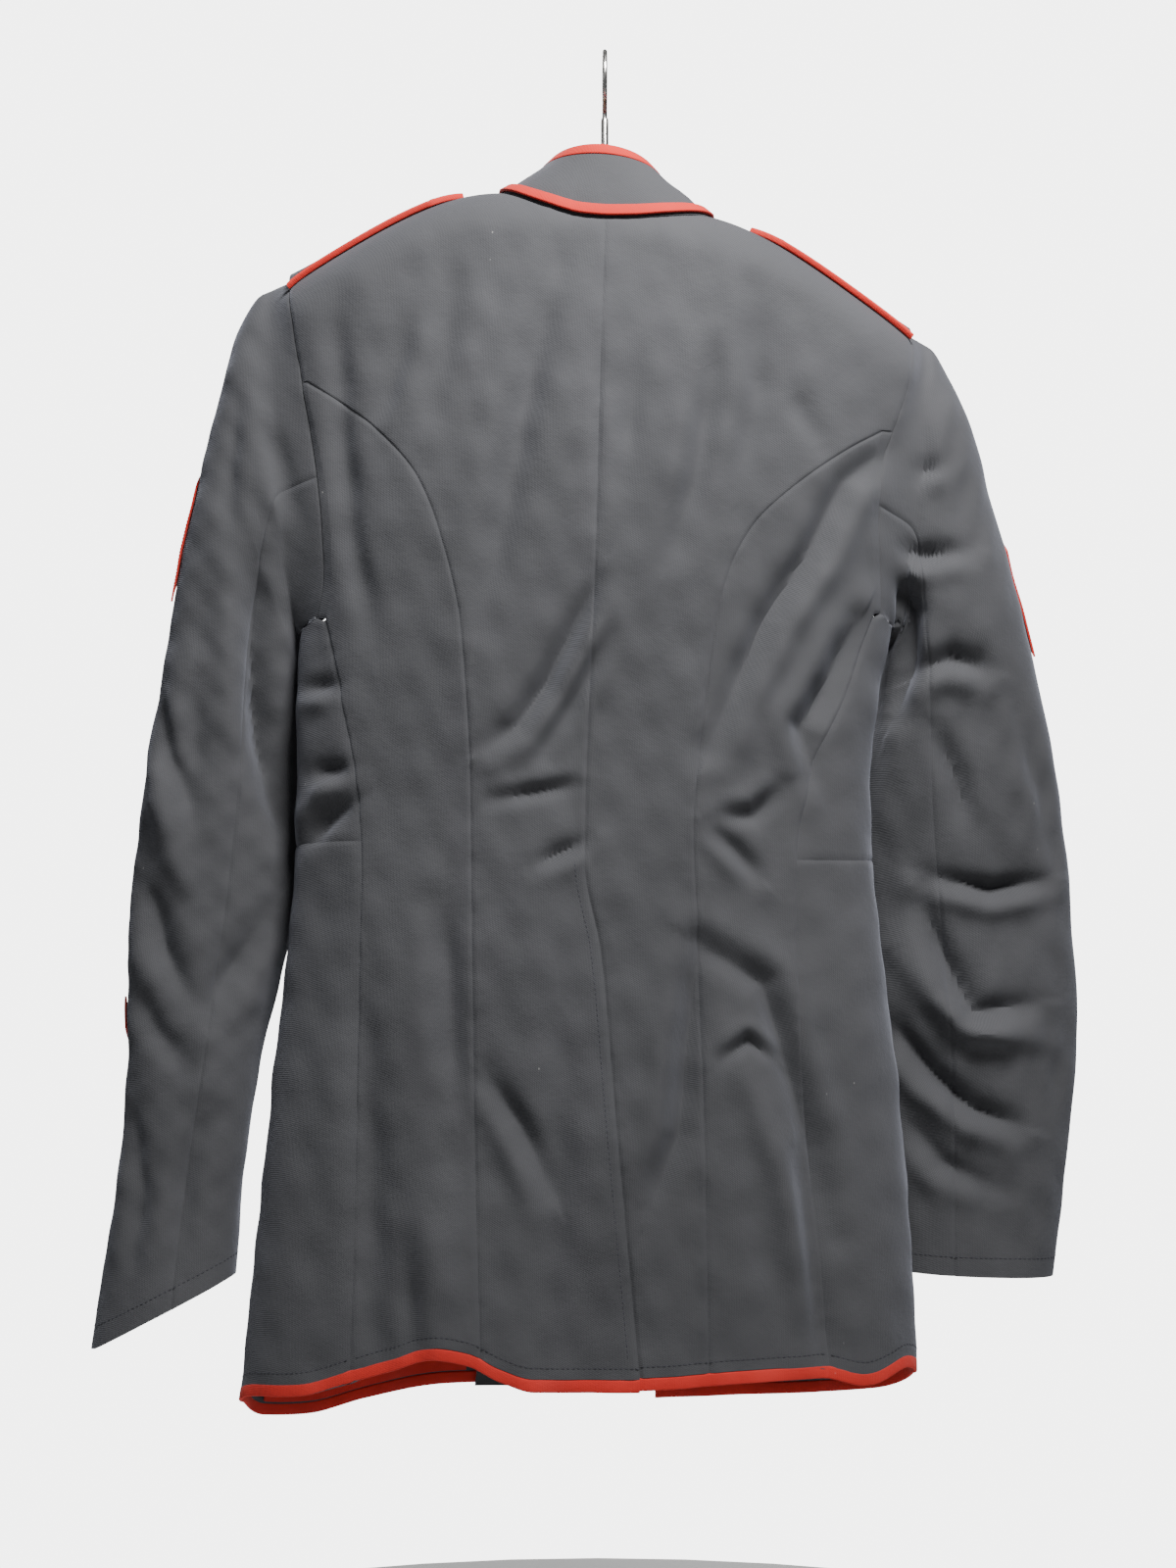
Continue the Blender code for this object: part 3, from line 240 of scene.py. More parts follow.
@dataclass(frozen=True)
class Crease:
    """A fold: how far it lifts the cloth, how wide it is, and the line it follows.

    pair adds a rise beside a hollow, as a share of it, on the left of the line's direction when
    positive and on the right when negative. crisp sharpens its bottom.
    """

    lift: float
    width: float
    line: Line
    pair: float = 0.0
    crisp: float = 0.0

    def height(self, across: Array, height: Array) -> Array:
        """The fold's lift at places seen flat.

        Args:
            across: X of each place.
            height: Z of each place.
        Returns:
            How far it lifts the cloth.
        """
        place = np.stack([across, height], -1)
        line = np.asarray(self.line, float)
        runs = np.linalg.norm(np.diff(line, axis=0), axis=1)
        starts = np.concatenate([[0], np.cumsum(runs)])
        nearest = np.full(np.shape(across), 1e9)
        share = np.zeros(np.shape(across))
        hand = np.ones(np.shape(across))
        for i, run in enumerate(runs):
            way = (line[i + 1] - line[i]) / run
            reach = np.clip((place - line[i]) @ way, 0, run)
            offset = place - line[i] - reach[..., None] * way
            distance = np.linalg.norm(offset, axis=-1)
            closer = distance < nearest
            turn = np.sign(way[0] * offset[..., 1] - way[1] * offset[..., 0])
            share = np.where(closer, (starts[i] + reach) / starts[-1], share)
            hand = np.where(closer, turn, hand)
            nearest = np.minimum(distance, nearest)
        taper = np.sin(math.pi * (0.06 + 0.88 * share)) ** 0.8
        soft = np.exp(-((nearest / self.width) ** 2))
        sharp = np.exp(-nearest / (0.55 * self.width))
        total = (1 - self.crisp) * soft + self.crisp * sharp
        if self.pair:
            beside = hand * nearest * math.copysign(1, self.pair) - 1.7 * self.width
            total = total - abs(self.pair) * np.exp(-((beside / (1.05 * self.width)) ** 2))
        return self.lift * taper * total


@dataclass(frozen=True)
class CreaseField:
    """All folds of one side of a garment's part."""

    creases: tuple[Crease, ...]
    ripples: tuple[Ripple, ...] = ()
    share: float = 1.0

    def lift(self, across: Array, height: Array) -> Array:
        """How far the cloth moves out, at places seen flat.

        Args:
            across: X of each place.
            height: Z of each place.
        Returns:
            The sum of all folds and waves, times the share.
        """
        total = np.zeros(np.shape(across))
        for crease in self.creases:
            total += crease.height(across, height)
        for ripple in self.ripples:
            total += ripple.lift(across, height)
        return self.share * total


BACK_CREASES = CreaseField(
    (
        Crease(-4.5, 9, ((171, -174), (166, -277), (160, -328), (145, -404)), 0.3),
        Crease(-3.0, 8, ((123, -198), (138, -243), (146, -262)), -0.3),
        Crease(-6.0, 11, ((28, -148), (43, -217), (56, -277), (69, -347), (78, -389)), 0.35),
        Crease(-1.6, 4, ((5, -209), (5, -328))),
        Crease(-8.5, 8, ((6, -362), (38, -426), (55, -451), (72, -463)), -0.45, 0.3),
        Crease(-4.0, 6, ((-2, -395), (22, -440), (40, -468)), -0.3),
        Crease(-3.5, 5, ((19, -488), (72, -498)), 0.4),
        Crease(-3.0, 8, ((-19, -222), (-12, -298))),
        Crease(-5.0, 9, ((-70, -215), (-62, -260), (-56, -298), (-40, -350)), 0.35),
        Crease(-3.0, 8, ((-117, -243), (-134, -274))),
        Crease(
            -8.0, 9,
            ((-176, -276), (-150, -297), (-127, -344), (-100, -385), (-81, -426), (-64, -465)), -0.5, 0.25,
        ),
        Crease(-7.5, 9, ((-160, -385), (-141, -423), (-124, -451), (-131, -480)), 0.5, 0.3),
        Crease(-4.0, 6, ((-64, -514), (-80, -528), (-95, -544)), 0.5),
        Crease(-4.0, 6, ((-110, -490), (-92, -506), (-70, -508)), 0.4),
        Crease(-7.0, 8, ((158, -497), (176, -509), (194, -526)), 0.45, 0.3),
        Crease(-4.5, 6, ((196, -424), (169, -424)), 0.4),
        Crease(-4.5, 6, ((186, -479), (160, -477)), 0.4),
        Crease(-4.5, 6, ((44, -538), (14, -523)), 0.4, 0.3),
        Crease(-5.0, 9, ((100, -560), (98, -610), (92, -680)), 0.35),
        Crease(-6.5, 8, ((72, -668), (52, -695), (34, -735)), 0.4, 0.2),
        Crease(-4.0, 8, ((120, -770), (116, -830))),
        Crease(-7.5, 9, ((-57, -585), (-50, -645), (-45, -700), (-27, -745)), 0.35, 0.2),
        Crease(-7.5, 9, ((-57, -585), (-98, -611), (-112, -659), (-125, -704), (-139, -765)), -0.35, 0.2),
        Crease(-4.0, 5, ((-71, -657), (-87, -645), (-103, -657)), -0.5, 0.3),
        Crease(6.0, 11, ((-84, -660), (-107, -729), (-129, -810))),
        Crease(-6.0, 8, ((-118, -715), (-133, -835)), 0.3),
        Crease(6.0, 15, ((104, -720), (102, -840))),
        Crease(3.0, 18, ((44, -560), (30, -660), (8, -780))),
        Crease(-3.5, 9, ((-92, -175), (-96, -240), (-84, -300)), 0.3),
        Crease(-3.0, 10, ((96, -150), (100, -210), (112, -262)), 0.3),
        Crease(-5.0, 12, ((150, -600), (146, -720), (140, -840)), 0.3),
        Crease(-5.0, 12, ((30, -620), (28, -740), (40, -840)), 0.3),
    ),
    (Ripple(1.1, 95, 3, 1.8), Ripple(0.45, 30, 5, 1.5)),
    1.25,
)
FRONT_CREASES = CreaseField(
    (
        Crease(-6, 12, ((150, -210), (146, -290), (150, -360)), 0.3),
        Crease(-6, 14, ((40, -190), (70, -280), (96, -400), (98, -490)), 0.4),
        Crease(-5, 10, ((96, -500), (60, -512), (30, -500)), 0.4),
        Crease(-7, 10, ((172, -380), (140, -440), (130, -500)), 0.4),
        Crease(-6, 14, ((-60, -200), (-84, -300), (-96, -420)), -0.4),
        Crease(-7, 10, ((-158, -380), (-132, -430), (-120, -500)), -0.4),
        Crease(-5, 10, ((-88, -505), (-54, -514), (-26, -500)), -0.4),
        Crease(-7, 14, ((96, -560), (104, -660), (100, -760)), 0.4),
        Crease(7, 16, ((60, -620), (66, -760), (62, -860))),
        Crease(-7, 16, ((150, -600), (164, -730), (160, -860)), 0.4),
        Crease(-7, 14, ((-84, -560), (-96, -680), (-92, -780)), -0.4),
        Crease(7, 16, ((-50, -640), (-60, -760), (-56, -860))),
        Crease(-7, 16, ((-126, -600), (-142, -730), (-140, -850)), -0.4),
    ),
    (Ripple(0.9, 100, 13, 1.8), Ripple(0.35, 34, 15, 1.5)),
)
LEFT_SLEEVE_CREASES = CreaseField(
    (
        Crease(-12, 10, ((222, -345), (224, -395), (222, -435), (213, -485), (205, -520)), 0.2, 0.25),
        Crease(-5, 8, ((210, -262), (200, -299), (189, -322)), 0.4),
        Crease(-3.5, 8, ((236, -230), (240, -290), (238, -330))),
        Crease(-5, 9, ((262, -420), (261, -466), (263, -492)), 0.4),
        Crease(-5, 7, ((285, -430), (276, -470), (262, -505)), 0.4, 0.2),
        Crease(-7, 10, ((292, -550), (280, -588), (262, -622)), 0.4, 0.15),
        Crease(-6, 10, ((216, -566), (236, -602), (254, -632)), -0.4, 0.15),
        Crease(-4, 9, ((298, -610), (284, -640), (262, -662)), 0.4),
        Crease(5, 9, ((290, -470), (276, -520), (262, -560))),
        Crease(-4.5, 8, ((250, -690), (262, -730), (266, -790)), 0.3),
        Crease(-3.5, 7, ((300, -690), (292, -740), (296, -800)), 0.3),
    ),
    (Ripple(1.0, 60, 23, 1.6), Ripple(0.45, 24, 25, 1.3)),
    1.35,
)
RIGHT_SLEEVE_CREASES = CreaseField(
    (
        Crease(-11, 9, ((-186, -350), (-196, -375), (-194, -408), (-186, -438)), -0.3, 0.2),
        Crease(-4, 6, ((-196, -287), (-216, -281)), 0.4),
        Crease(-6, 7, ((-180, -332), (-202, -339), (-230, -336)), 0.5, 0.3),
        Crease(-7, 8, ((-203, -411), (-221, -403), (-244, -410)), 0.5, 0.3),
        Crease(-4, 7, ((-212, -450), (-226, -480), (-236, -512)), -0.4),
        Crease(-7, 7, ((-212, -543), (-249, -552), (-285, -545)), 0.5, 0.35),
        Crease(-7, 8, ((-205, -561), (-220, -597), (-236, -630), (-276, -625)), 0.5, 0.35),
        Crease(6, 9, ((-189, -590), (-210, -621), (-237, -643), (-286, -650))),
        Crease(-9, 8, ((-187, -641), (-211, -671), (-236, -692), (-264, -702)), 0.5, 0.35),
        Crease(-5, 8, ((-196, -700), (-216, -726), (-250, -744)), 0.4, 0.2),
        Crease(-3.5, 8, ((-270, -440), (-284, -490), (-292, -530)), 0.3),
    ),
    (Ripple(1.0, 60, 33, 1.6), Ripple(0.45, 24, 35, 1.3)),
    1.35,
)
SEAM_PUCKER = Ripple(0.14, 9, 51)
SEAM_DIP = 0.75


@dataclass(frozen=True)
class BodyForm:
    """The coat's body as a rounded section at each height, closing over the shoulders."""

    # height, left, right, back depth, front depth
    rows: tuple[tuple[float, float, float, float, float], ...] = (
        (-90, 226, -221, 50, 52), (-153, 226, -221, 56, 58), (-200, 222, -220, 60, 62),
        (-250, 214, -214, 62, 66), (-310, 203, -201, 63, 70), (-375, 196, -187, 62, 72),
        (-430, 199, -176, 59, 68), (-500, 198, -170, 54, 60), (-550, 200, -173, 54, 60),
        (-620, 206, -180, 56, 62), (-720, 216, -190, 58, 64), (-890, 231, -198, 60, 66),
    )
    ridge: Line = ((-221, -203), (-198, -189), (-72, -114), (0, -101), (70, -97), (205, -153), (226, -163))
    edge: float = 0.84
    shoulder: float = 42.0

    def section(self, height: Array) -> tuple[Array, Array, Array, Array]:
        """The middle, half width, and depths behind and before, at each height.

        Args:
            height: Z of each place.
        Returns:
            Four rows, shaped like the heights.
        """
        rows = np.array(self.rows[::-1], float)
        read = curve_value(rows[:, 0], rows[:, 1:], height)
        left, right, back, front = (read[..., i] for i in range(4))
        return (left + right) / 2, (left - right) / 2, back, front

    def ridge_height(self, across: Array) -> Array:
        """Height of the shoulder line."""
        ridge = np.array(self.ridge, float)
        return curve_value(ridge[:, 0], ridge[:, 1], np.asarray(across, float))

    def point(self, angle: Array, height: Array) -> Array:
        """Places on the body; the angle is 0 at the centre back and 90 at the left.

        Args:
            angle: round the body, in degrees.
            height: Z of each place.
        Returns:
            Rows of X, Y and Z.
        """
        angle, height = np.broadcast_arrays(np.asarray(angle, float), np.asarray(height, float))
        middle, half, back, front = self.section(height)
        turn = np.radians(angle)
        across = middle + half * signed_power(np.sin(turn), self.edge)
        facing = signed_power(np.cos(turn), self.edge)
        below = np.clip((self.ridge_height(across) - height) / self.shoulder, 0, 1)
        rounding = np.sqrt(1 - (1 - below) ** 2)
        deep = np.where(facing > 0, back, front) * facing * rounding
        return np.stack([across, deep, height], -1)

    def normal(self, angle: Array, height: Array) -> Array:
        """Directions straight out of the body.

        Args:
            angle: round the body, in degrees.
            height: Z of each place.
        Returns:
            Rows of X, Y and Z, of length one.
        """
        turn, drop, blend_depth = 0.25, 0.4, 0.9
        here = self.point(angle, height)
        angle, height = np.asarray(angle), np.asarray(height)
        round_way = self.point(angle + turn, height) - self.point(angle - turn, height)
        down_way = self.point(angle, height - drop) - here
        middle = self.section(height)[0]
        away = here - np.stack([middle, 0 * middle, here[..., 2] - self.shoulder], -1)
        out = turned_to(unit(np.cross(down_way, round_way)), away)
        across = here[..., 0]
        slope = (self.ridge_height(across + 1) - self.ridge_height(across - 1)) / 2
        up = unit(np.stack([-slope, 0 * slope, 1 + 0 * slope], -1))
        blend = smooth_step((self.ridge_height(across) - here[..., 2]) / blend_depth)[..., None]
        return unit(up * (1 - blend) + out * blend)

    def angle_at(self, across: Array, height: Array, face: Face, side: Side = Side.LEFT) -> Array:
        """The angle of places given by X, on the back or reached round a side to the front.

        Args:
            across: X of each place.
            height: Z of each place.
            face: the back or the front.
            side: the side that is gone round on the way to the front.
        Returns:
            Angles in degrees.
        """
        middle, half, _, _ = self.section(height)
        back = np.degrees(np.arcsin(np.clip(signed_power((across - middle) / half, 1 / self.edge), -1, 1)))
        if face is Face.BACK:
            return back
        return side.value * (180 - side.value * back)

    def shoulder_top(self, across: Array, deep: Array) -> Array:
        """Height of the shoulder's top at places seen from above.

        Args:
            across: X of each place.
            deep: Y of each place.
        Returns:
            Z of the shoulder's top there.
        """
        ridge = self.ridge_height(across)
        middle, half, back, front = self.section(ridge)
        turn = np.arcsin(np.clip(np.abs((across - middle) / half) ** (1 / self.edge), 0, 0.97))
        reach = np.where(deep > 0, back, front) * np.cos(turn) ** self.edge
        share = np.clip(np.abs(deep) / reach, 0, 0.97)
        return ridge - self.shoulder * (1 - np.sqrt(1 - share**2))


@dataclass(frozen=True)
class SideLines:
    """One side's seams: across and height, or angle and height for the armhole."""

    princess: Line
    side_seam: Line
    armhole_back: Line
    armhole_foot: Line
    armhole_front: Line
    shoulder: float
    neck: float
    waist: float
    front_edge: Line


SIDE_LINES = {
    Side.LEFT: SideLines(
        princess=(
            (191, -229), (171, -243), (146, -262), (117, -296), (102, -335), (90, -389), (84, -479),
            (83, -553), (80, -700), (76, -832),
        ),
        side_seam=((178, -380), (166, -432), (155, -492), (152, -549), (154, -674), (156, -853)),
        armhole_back=((63, -153), (61, -201), (60, -229), (60, -306), (62, -340), (64, -364), (68, -380)),
        armhole_foot=((68, -380), (79, -384), (90, -384)),
        armhole_front=(
            (117, -153), (119, -201), (121, -254), (121, -300), (119, -340), (112, -370), (90, -384),
        ),
        shoulder=205, neck=70, waist=-522, front_edge=((-17, -165), (-16, -528), (-8, -870)),
    ),
    Side.RIGHT: SideLines(
        princess=(
            (-177, -262), (-151, -277), (-112, -306), (-93, -325), (-78, -352), (-68, -389),
            (-58, -469), (-54, -512), (-57, -588), (-60, -700), (-62, -842),
        ),
        side_seam=(
            (-172, -377), (-152, -430), (-131, -475), (-119, -534), (-118, -604), (-128, -729), (-137, -845),
        ),
        armhole_back=(
            (61.5, -189), (61, -225), (57, -262), (55.5, -290), (58.5, -323), (64, -352), (69, -377),
        ),
        armhole_foot=((69, -377), (80, -382), (90, -382)),
        armhole_front=(
            (118.5, -189), (119.5, -225), (121, -265), (121, -305), (119, -340), (112, -368), (90, -382),
        ),
        shoulder=-198, neck=-72, waist=-534, front_edge=((28, -165), (34, -528), (86, -877)),
    ),
}


@dataclass(frozen=True)
class CoatPattern:
    """The seam lines of the coat on its body, as rows of angle and height."""

    form: BodyForm = BodyForm()
    cell: float = 3.2
    hem: Line = (
        (-205, -877), (-172, -878), (-150, -874), (-120, -866), (-90, -848), (-71, -840), (-52, -847),
        (-40, -841), (-26, -842), (-7, -846), (5, -847), (10, -841), (15, -832), (21, -828), (29, -836),
        (38, -844), (50, -853), (71, -857), (90, -866), (110, -880), (128, -883), (145, -874),
        (160, -868), (190, -870),
    )
    centre: Line = (
        (0, -128), (4, -255), (7, -367), (12, -479), (13, -535), (3, -592), (-6, -694), (-20, -846),
    )
    neck_back: float = -128.0
    neck_front: float = -165.0
    waist_front: float = -530.0
    vent_top: float = -540.0
    vent_lift: float = 3.2

    def hem_height(self, angle: Array) -> Array:
        """Height of the hem at each angle."""
        hem = np.array(self.hem, float)
        return curve_value(hem[:, 0], hem[:, 1], np.asarray(angle, float))

    def hem_line(self, first: float, last: float, count: int) -> Array:
        """Angle and height along the hem between two angles."""
        angle = np.linspace(first, last, count)
        return np.stack([angle, self.hem_height(angle)], 1)

    def fall(self, line: Line, fractions: Array) -> Array:
        """Angle and height down a line on the back, at fractions of its height.

        Args:
            line: across and down, from the top.
            fractions: from 0 at the start to 1 at the end.
        Returns:
            Rows of angle and height.
        """
        table = np.array(line, float)
        down = -table[0, 1] + (table[0, 1] - table[-1, 1]) * np.asarray(fractions)
        across = curve_value(-table[:, 1], table[:, 0], down)
        return np.stack([self.form.angle_at(across, -down, Face.BACK), -down], 1)

    def lap(self, side: Side, face: Face) -> Lap | None:
        """The lift where one side's back or front passes over or under the other's.

        Args:
            side: the wearer's left or right.
            face: the back or the front.
        Returns:
            A function of X and Z, or None where nothing overlaps.
        """
        if face is Face.BACK:
            return self.upper_vent if side is Side.LEFT else self.lower_vent
        return self.under_front if side is Side.RIGHT else None

    def on_body(self, line: Line, fractions: Array, face: Face = Face.BACK, side: Side = Side.LEFT) -> Array:
        """Angle and height along a line given across and down."""
        path = along(line, fractions)
        return np.stack([self.form.angle_at(path[:, 0], path[:, 1], face, side), path[:, 1]], 1)

    def neckline(self, side: Side, face: Face, fractions: Array) -> Array:
        """The neck seam from the centre to the shoulder.

        Args:
            side: the wearer's left or right.
            face: the back or the front.
            fractions: from 0 at the start to 1 at the end.
        Returns:
            Rows of angle and height.
        """
        half = SIDE_LINES[side].neck
        share = np.sin(np.asarray(fractions) * math.pi / 2) if face is Face.FRONT else np.asarray(fractions)
        start = self.neck_back if face is Face.BACK else self.neck_front
        power = 2.0 if face is Face.BACK else 2.6
        height = start + (self.form.ridge_height(half) - start) * share**power
        return np.stack([self.form.angle_at(share * half, height, face, side), height], 1)

    def shoulder(self, side: Side, face: Face, fractions: Array) -> Array:
        """The shoulder seam from the neck to the sleeve.

        Args:
            side: the wearer's left or right.
            face: the back or the front.
            fractions: from 0 at the start to 1 at the end.
        Returns:
            Rows of angle and height.
        """
        lines = SIDE_LINES[side]
        across = lines.neck + (lines.shoulder - lines.neck) * np.asarray(fractions)
        height = self.form.ridge_height(across)
        return np.stack([self.form.angle_at(across, height, face, side), height], 1)

    def armhole(self, side: Side, face: Face, fractions: Array) -> Array:
        """The armhole from the shoulder down the back or the front.

        Args:
            side: the wearer's left or right.
            face: the back or the front.
            fractions: from 0 at the start to 1 at the end.
        Returns:
            Rows of angle and height.
        """
        lines = SIDE_LINES[side]
        table = np.array(lines.armhole_back if face is Face.BACK else lines.armhole_front, float)
        across = np.array(float(lines.shoulder))
        table[0, 1] = self.form.ridge_height(across)
        table[0, 0] = side.value * self.form.angle_at(across, table[0, 1], face, side)
        return along(table * ARMHOLE_SCALE, fractions) / ARMHOLE_SCALE * (side.value, 1)

    def armhole_foot(self, side: Side, fractions: Array) -> Array:
        """The armhole's foot, from the side seam to the front."""
        table = np.array(SIDE_LINES[side].armhole_foot, float)
        return along(table * ARMHOLE_SCALE, fractions) / ARMHOLE_SCALE * (side.value, 1)

    def princess_start(self, side: Side) -> float:
        """How far down the back armhole the curved back seam starts, as a fraction.

        Args:
            side: the wearer's left or right.
        Returns:
            The fraction, from 0 at the shoulder.
        """
        fine = np.linspace(0, 1, 400)
        heights = self.armhole(side, Face.BACK, fine)[:, 1]
        return float(np.interp(-SIDE_LINES[side].princess[0][1], -heights, fine))

    def princess(self, side: Side, fractions: Array) -> Array:
        """The curved back seam from the armhole to the hem.

        Args:
            side: the wearer's left or right.
            fractions: from 0 at the start to 1 at the end.
        Returns:
            Rows of angle and height.
        """
        places = self.on_body(SIDE_LINES[side].princess, fractions)
        start = self.armhole(side, Face.BACK, np.array([self.princess_start(side)]))[0]
        places[0] = start
        places[-1, 1] = self.hem_height(places[-1, 0])
        return places

    def side_seam(self, side: Side, heights: Array) -> Array:
        """The side seam at given fractions of its height, top to hem.

        Args:
            side: the wearer's left or right.
            heights: fractions of its height, from the top.
        Returns:
            Rows of angle and height.
        """
        places = self.fall(SIDE_LINES[side].side_seam, heights)
        places[0] = self.armhole_foot(side, np.array([0.0]))[0]
        if heights[-1] == 1:
            places[-1, 1] = self.hem_height(places[-1, 0])
        return places

    def waist_share(self, side: Side) -> float:
        """The waist's place down the side seam, as a fraction of its height."""
        lines = SIDE_LINES[side]
        return (lines.side_seam[0][1] - lines.waist) / (lines.side_seam[0][1] - lines.side_seam[-1][1])

    def centre_line(self, fractions: Array) -> Array:
        """The centre back seam and the vent's edge below it.

        Args:
            fractions: fractions of its height, from the top.
        Returns:
            Rows of angle and height.
        """
        places = self.fall(self.centre, fractions)
        places[-1, 1] = self.hem_height(places[-1, 0])
        return places

    def front_edge(self, side: Side, heights: Array) -> Array:
        """A front's edge, near the centre front, at given heights.

        Args:
            side: the wearer's left or right.
            heights: Z of each place.
        Returns:
            Rows of angle and height.
        """
        table = np.array(SIDE_LINES[side].front_edge, float)
        across = curve_value(-table[:, 1], table[:, 0], -np.asarray(heights))
        return np.stack([self.form.angle_at(across, heights, Face.FRONT, side), heights], 1)

    def vent_edge(self, height: Array) -> Array:
        """Where the vent's edge lies across."""
        table = np.array(self.centre[::-1], float)
        return curve_value(table[:, 1], table[:, 0], height)

    def upper_vent(self, across: Array, height: Array) -> Array:
        """The upper back stands proud along the vent."""
        near = 1 - smooth_step(np.abs(across - self.vent_edge(height)) / 30)
        return self.vent_lift * near * smooth_step((self.vent_top - height) / 70)

    def lower_vent(self, across: Array, height: Array) -> Array:
        """The under back dips along the vent."""
        near = 1 - smooth_step(np.abs(across - self.vent_edge(height)) / 26)
        return -1.5 * near * smooth_step((self.vent_top - height) / 70)

    def under_front(self, across: Array, height: Array) -> Array:
        """The right front passes behind the left one."""
        del height
        return -3.0 * smooth_step((across + 50) / 26)

    def cloth(self, angle: Array, height: Array, lap: Lap | None = None) -> tuple[Array, Array]:
        """Outer places of the cloth with its folds, and directions out of the body.

        Args:
            angle: round the body.
            height: in millimetres.
            lap: extra lift where pieces pass over each other.
        Returns:
            Places and directions.
        """
        place = self.form.point(angle, height)
        out = self.form.normal(angle, height)
        across, deep, height = place[..., 0], place[..., 1], place[..., 2]
        facing = np.cos(np.radians(angle))
        below = smooth_step((self.form.ridge_height(across) - height) / 60)
        weight = np.clip(2.2 * np.abs(facing), 0, 1) * below
        crease = np.where(facing > 0, BACK_CREASES.lift(across, height), FRONT_CREASES.lift(across, height))
        turn = Ripple(0.8, 26, 41).lift(deep, height * 0.6)
        lift = crease * weight + turn * (1 - weight) * below
        if lap is not None:
            lift = lift + lap(across, height)
        return place + out * lift[..., None], out


def patch(top: Array, bottom: Array, inner: Array, outer: Array) -> Array:
    """A grid inside four edges.

    Args:
        top: angle and height from the inner to the outer edge.
        bottom: the same along the foot.
        inner: from the top down.
        outer: from the top down.
    Returns:
        Rows of columns of angle and height.
    """

    def shares(edge: Array) -> Array:
        """Fractions of an edge's length."""
        run = run_length(edge * PANEL_SCALE)
        return run / run[-1]

    s = ((shares(top) + shares(bottom)) / 2)[None, :, None]
    t = ((shares(inner) + shares(outer)) / 2)[:, None, None]
    sides = (1 - s) * inner[:, None] + s * outer[:, None]
    top_bow = top[None] - (1 - s) * top[0] - s * top[-1]
    bottom_bow = bottom[None] - (1 - s) * bottom[0] - s * bottom[-1]
    return sides + (1 - t) ** 3 * top_bow + t**3 * bottom_bow


def grid_normals(grid: Array, guide: Array) -> Array:
    """Directions out of a grid of places, on the guide's side of it."""
    return turned_to(unit(np.cross(np.gradient(grid, axis=0), np.gradient(grid, axis=1))), guide)


def edge_distance(grid: Array, edges: Sequence[str]) -> Array:
    """Rough distance of each place of a grid from the nearest of its named edges.

    Args:
        grid: rows of columns of places.
        edges: names among top, bottom, inner and outer.
    Returns:
        A distance for each place.
    """
    rows = np.linalg.norm(np.diff(grid, axis=0), axis=-1)
    columns = np.linalg.norm(np.diff(grid, axis=1), axis=-1)
    down = np.concatenate([np.zeros((1, grid.shape[1])), np.cumsum(rows, axis=0)])
    over = np.concatenate([np.zeros((grid.shape[0], 1)), np.cumsum(columns, axis=1)], axis=1)
    found = {"top": down, "bottom": down[-1:] - down, "inner": over, "outer": over[:, -1:] - over}
    return np.min([found[edge] for edge in edges], axis=0)


def mesh_object(
    name: str, points: Array, faces: list[tuple[int, ...]], sharp: float = 40.0,
) -> bpy.types.Object:
    """Makes a smooth-shaded object.

    Args:
        name: the piece's name.
        points: in millimetres.
        faces: lists of point numbers.
        sharp: edges that turn more than this, in degrees, stay crisp.
    Returns:
        The linked object.
    """
    mesh = bpy.data.meshes.new(name)
    mesh.from_pydata((np.asarray(points, float) * MM).tolist(), [], faces)
    mesh.shade_smooth()
    mesh.set_sharp_from_angle(angle=math.radians(sharp))
    item = bpy.data.objects.new(name, mesh)
    bpy.context.scene.collection.objects.link(item)
    return item


def grid_faces(rows: int, columns: int, start: int = 0, flip: bool = False) -> list[tuple[int, ...]]:
    """Four-sided faces of a grid of points.

    Args:
        rows: rows of points.
        columns: points in a row.
        start: number of the first point.
        flip: turns the faces over.
    Returns:
        The faces.
    """
    number = start + np.arange(rows * columns).reshape(rows, columns)
    quads = np.stack([number[:-1, :-1], number[:-1, 1:], number[1:, 1:], number[1:, :-1]], -1).reshape(-1, 4)
    if flip:
        quads = quads[:, ::-1]
    return [tuple(int(v) for v in quad) for quad in quads]


def shell(name: str, outer: Array, out: Array, wall: float) -> bpy.types.Object:
    """A thin closed piece of cloth from a grid of outer places.

    Args:
        name: the piece's name.
        outer: rows of columns of places.
        out: directions out of it.
        wall: its thickness.
    Returns:
        The object.
    """
    rows, columns = outer.shape[:2]
    inner = outer - out * wall
    turned = np.dot(np.cross(outer[0, 1] - outer[0, 0], outer[1, 0] - outer[0, 0]), out[0, 0]) < 0
    half = rows * columns
    faces = grid_faces(rows, columns, 0, turned) + grid_faces(rows, columns, half, not turned)
    number = np.arange(half).reshape(rows, columns)
    rim = np.concatenate([number[0, :-1], number[:-1, -1], number[-1, :0:-1], number[:0:-1, 0]])
    for here, after in zip(rim, np.roll(rim, -1)):
        face = (int(here), int(here) + half, int(after) + half, int(after))
        faces.append(face if not turned else face[::-1])
    return mesh_object(name, np.concatenate([outer.reshape(-1, 3), inner.reshape(-1, 3)]), faces)


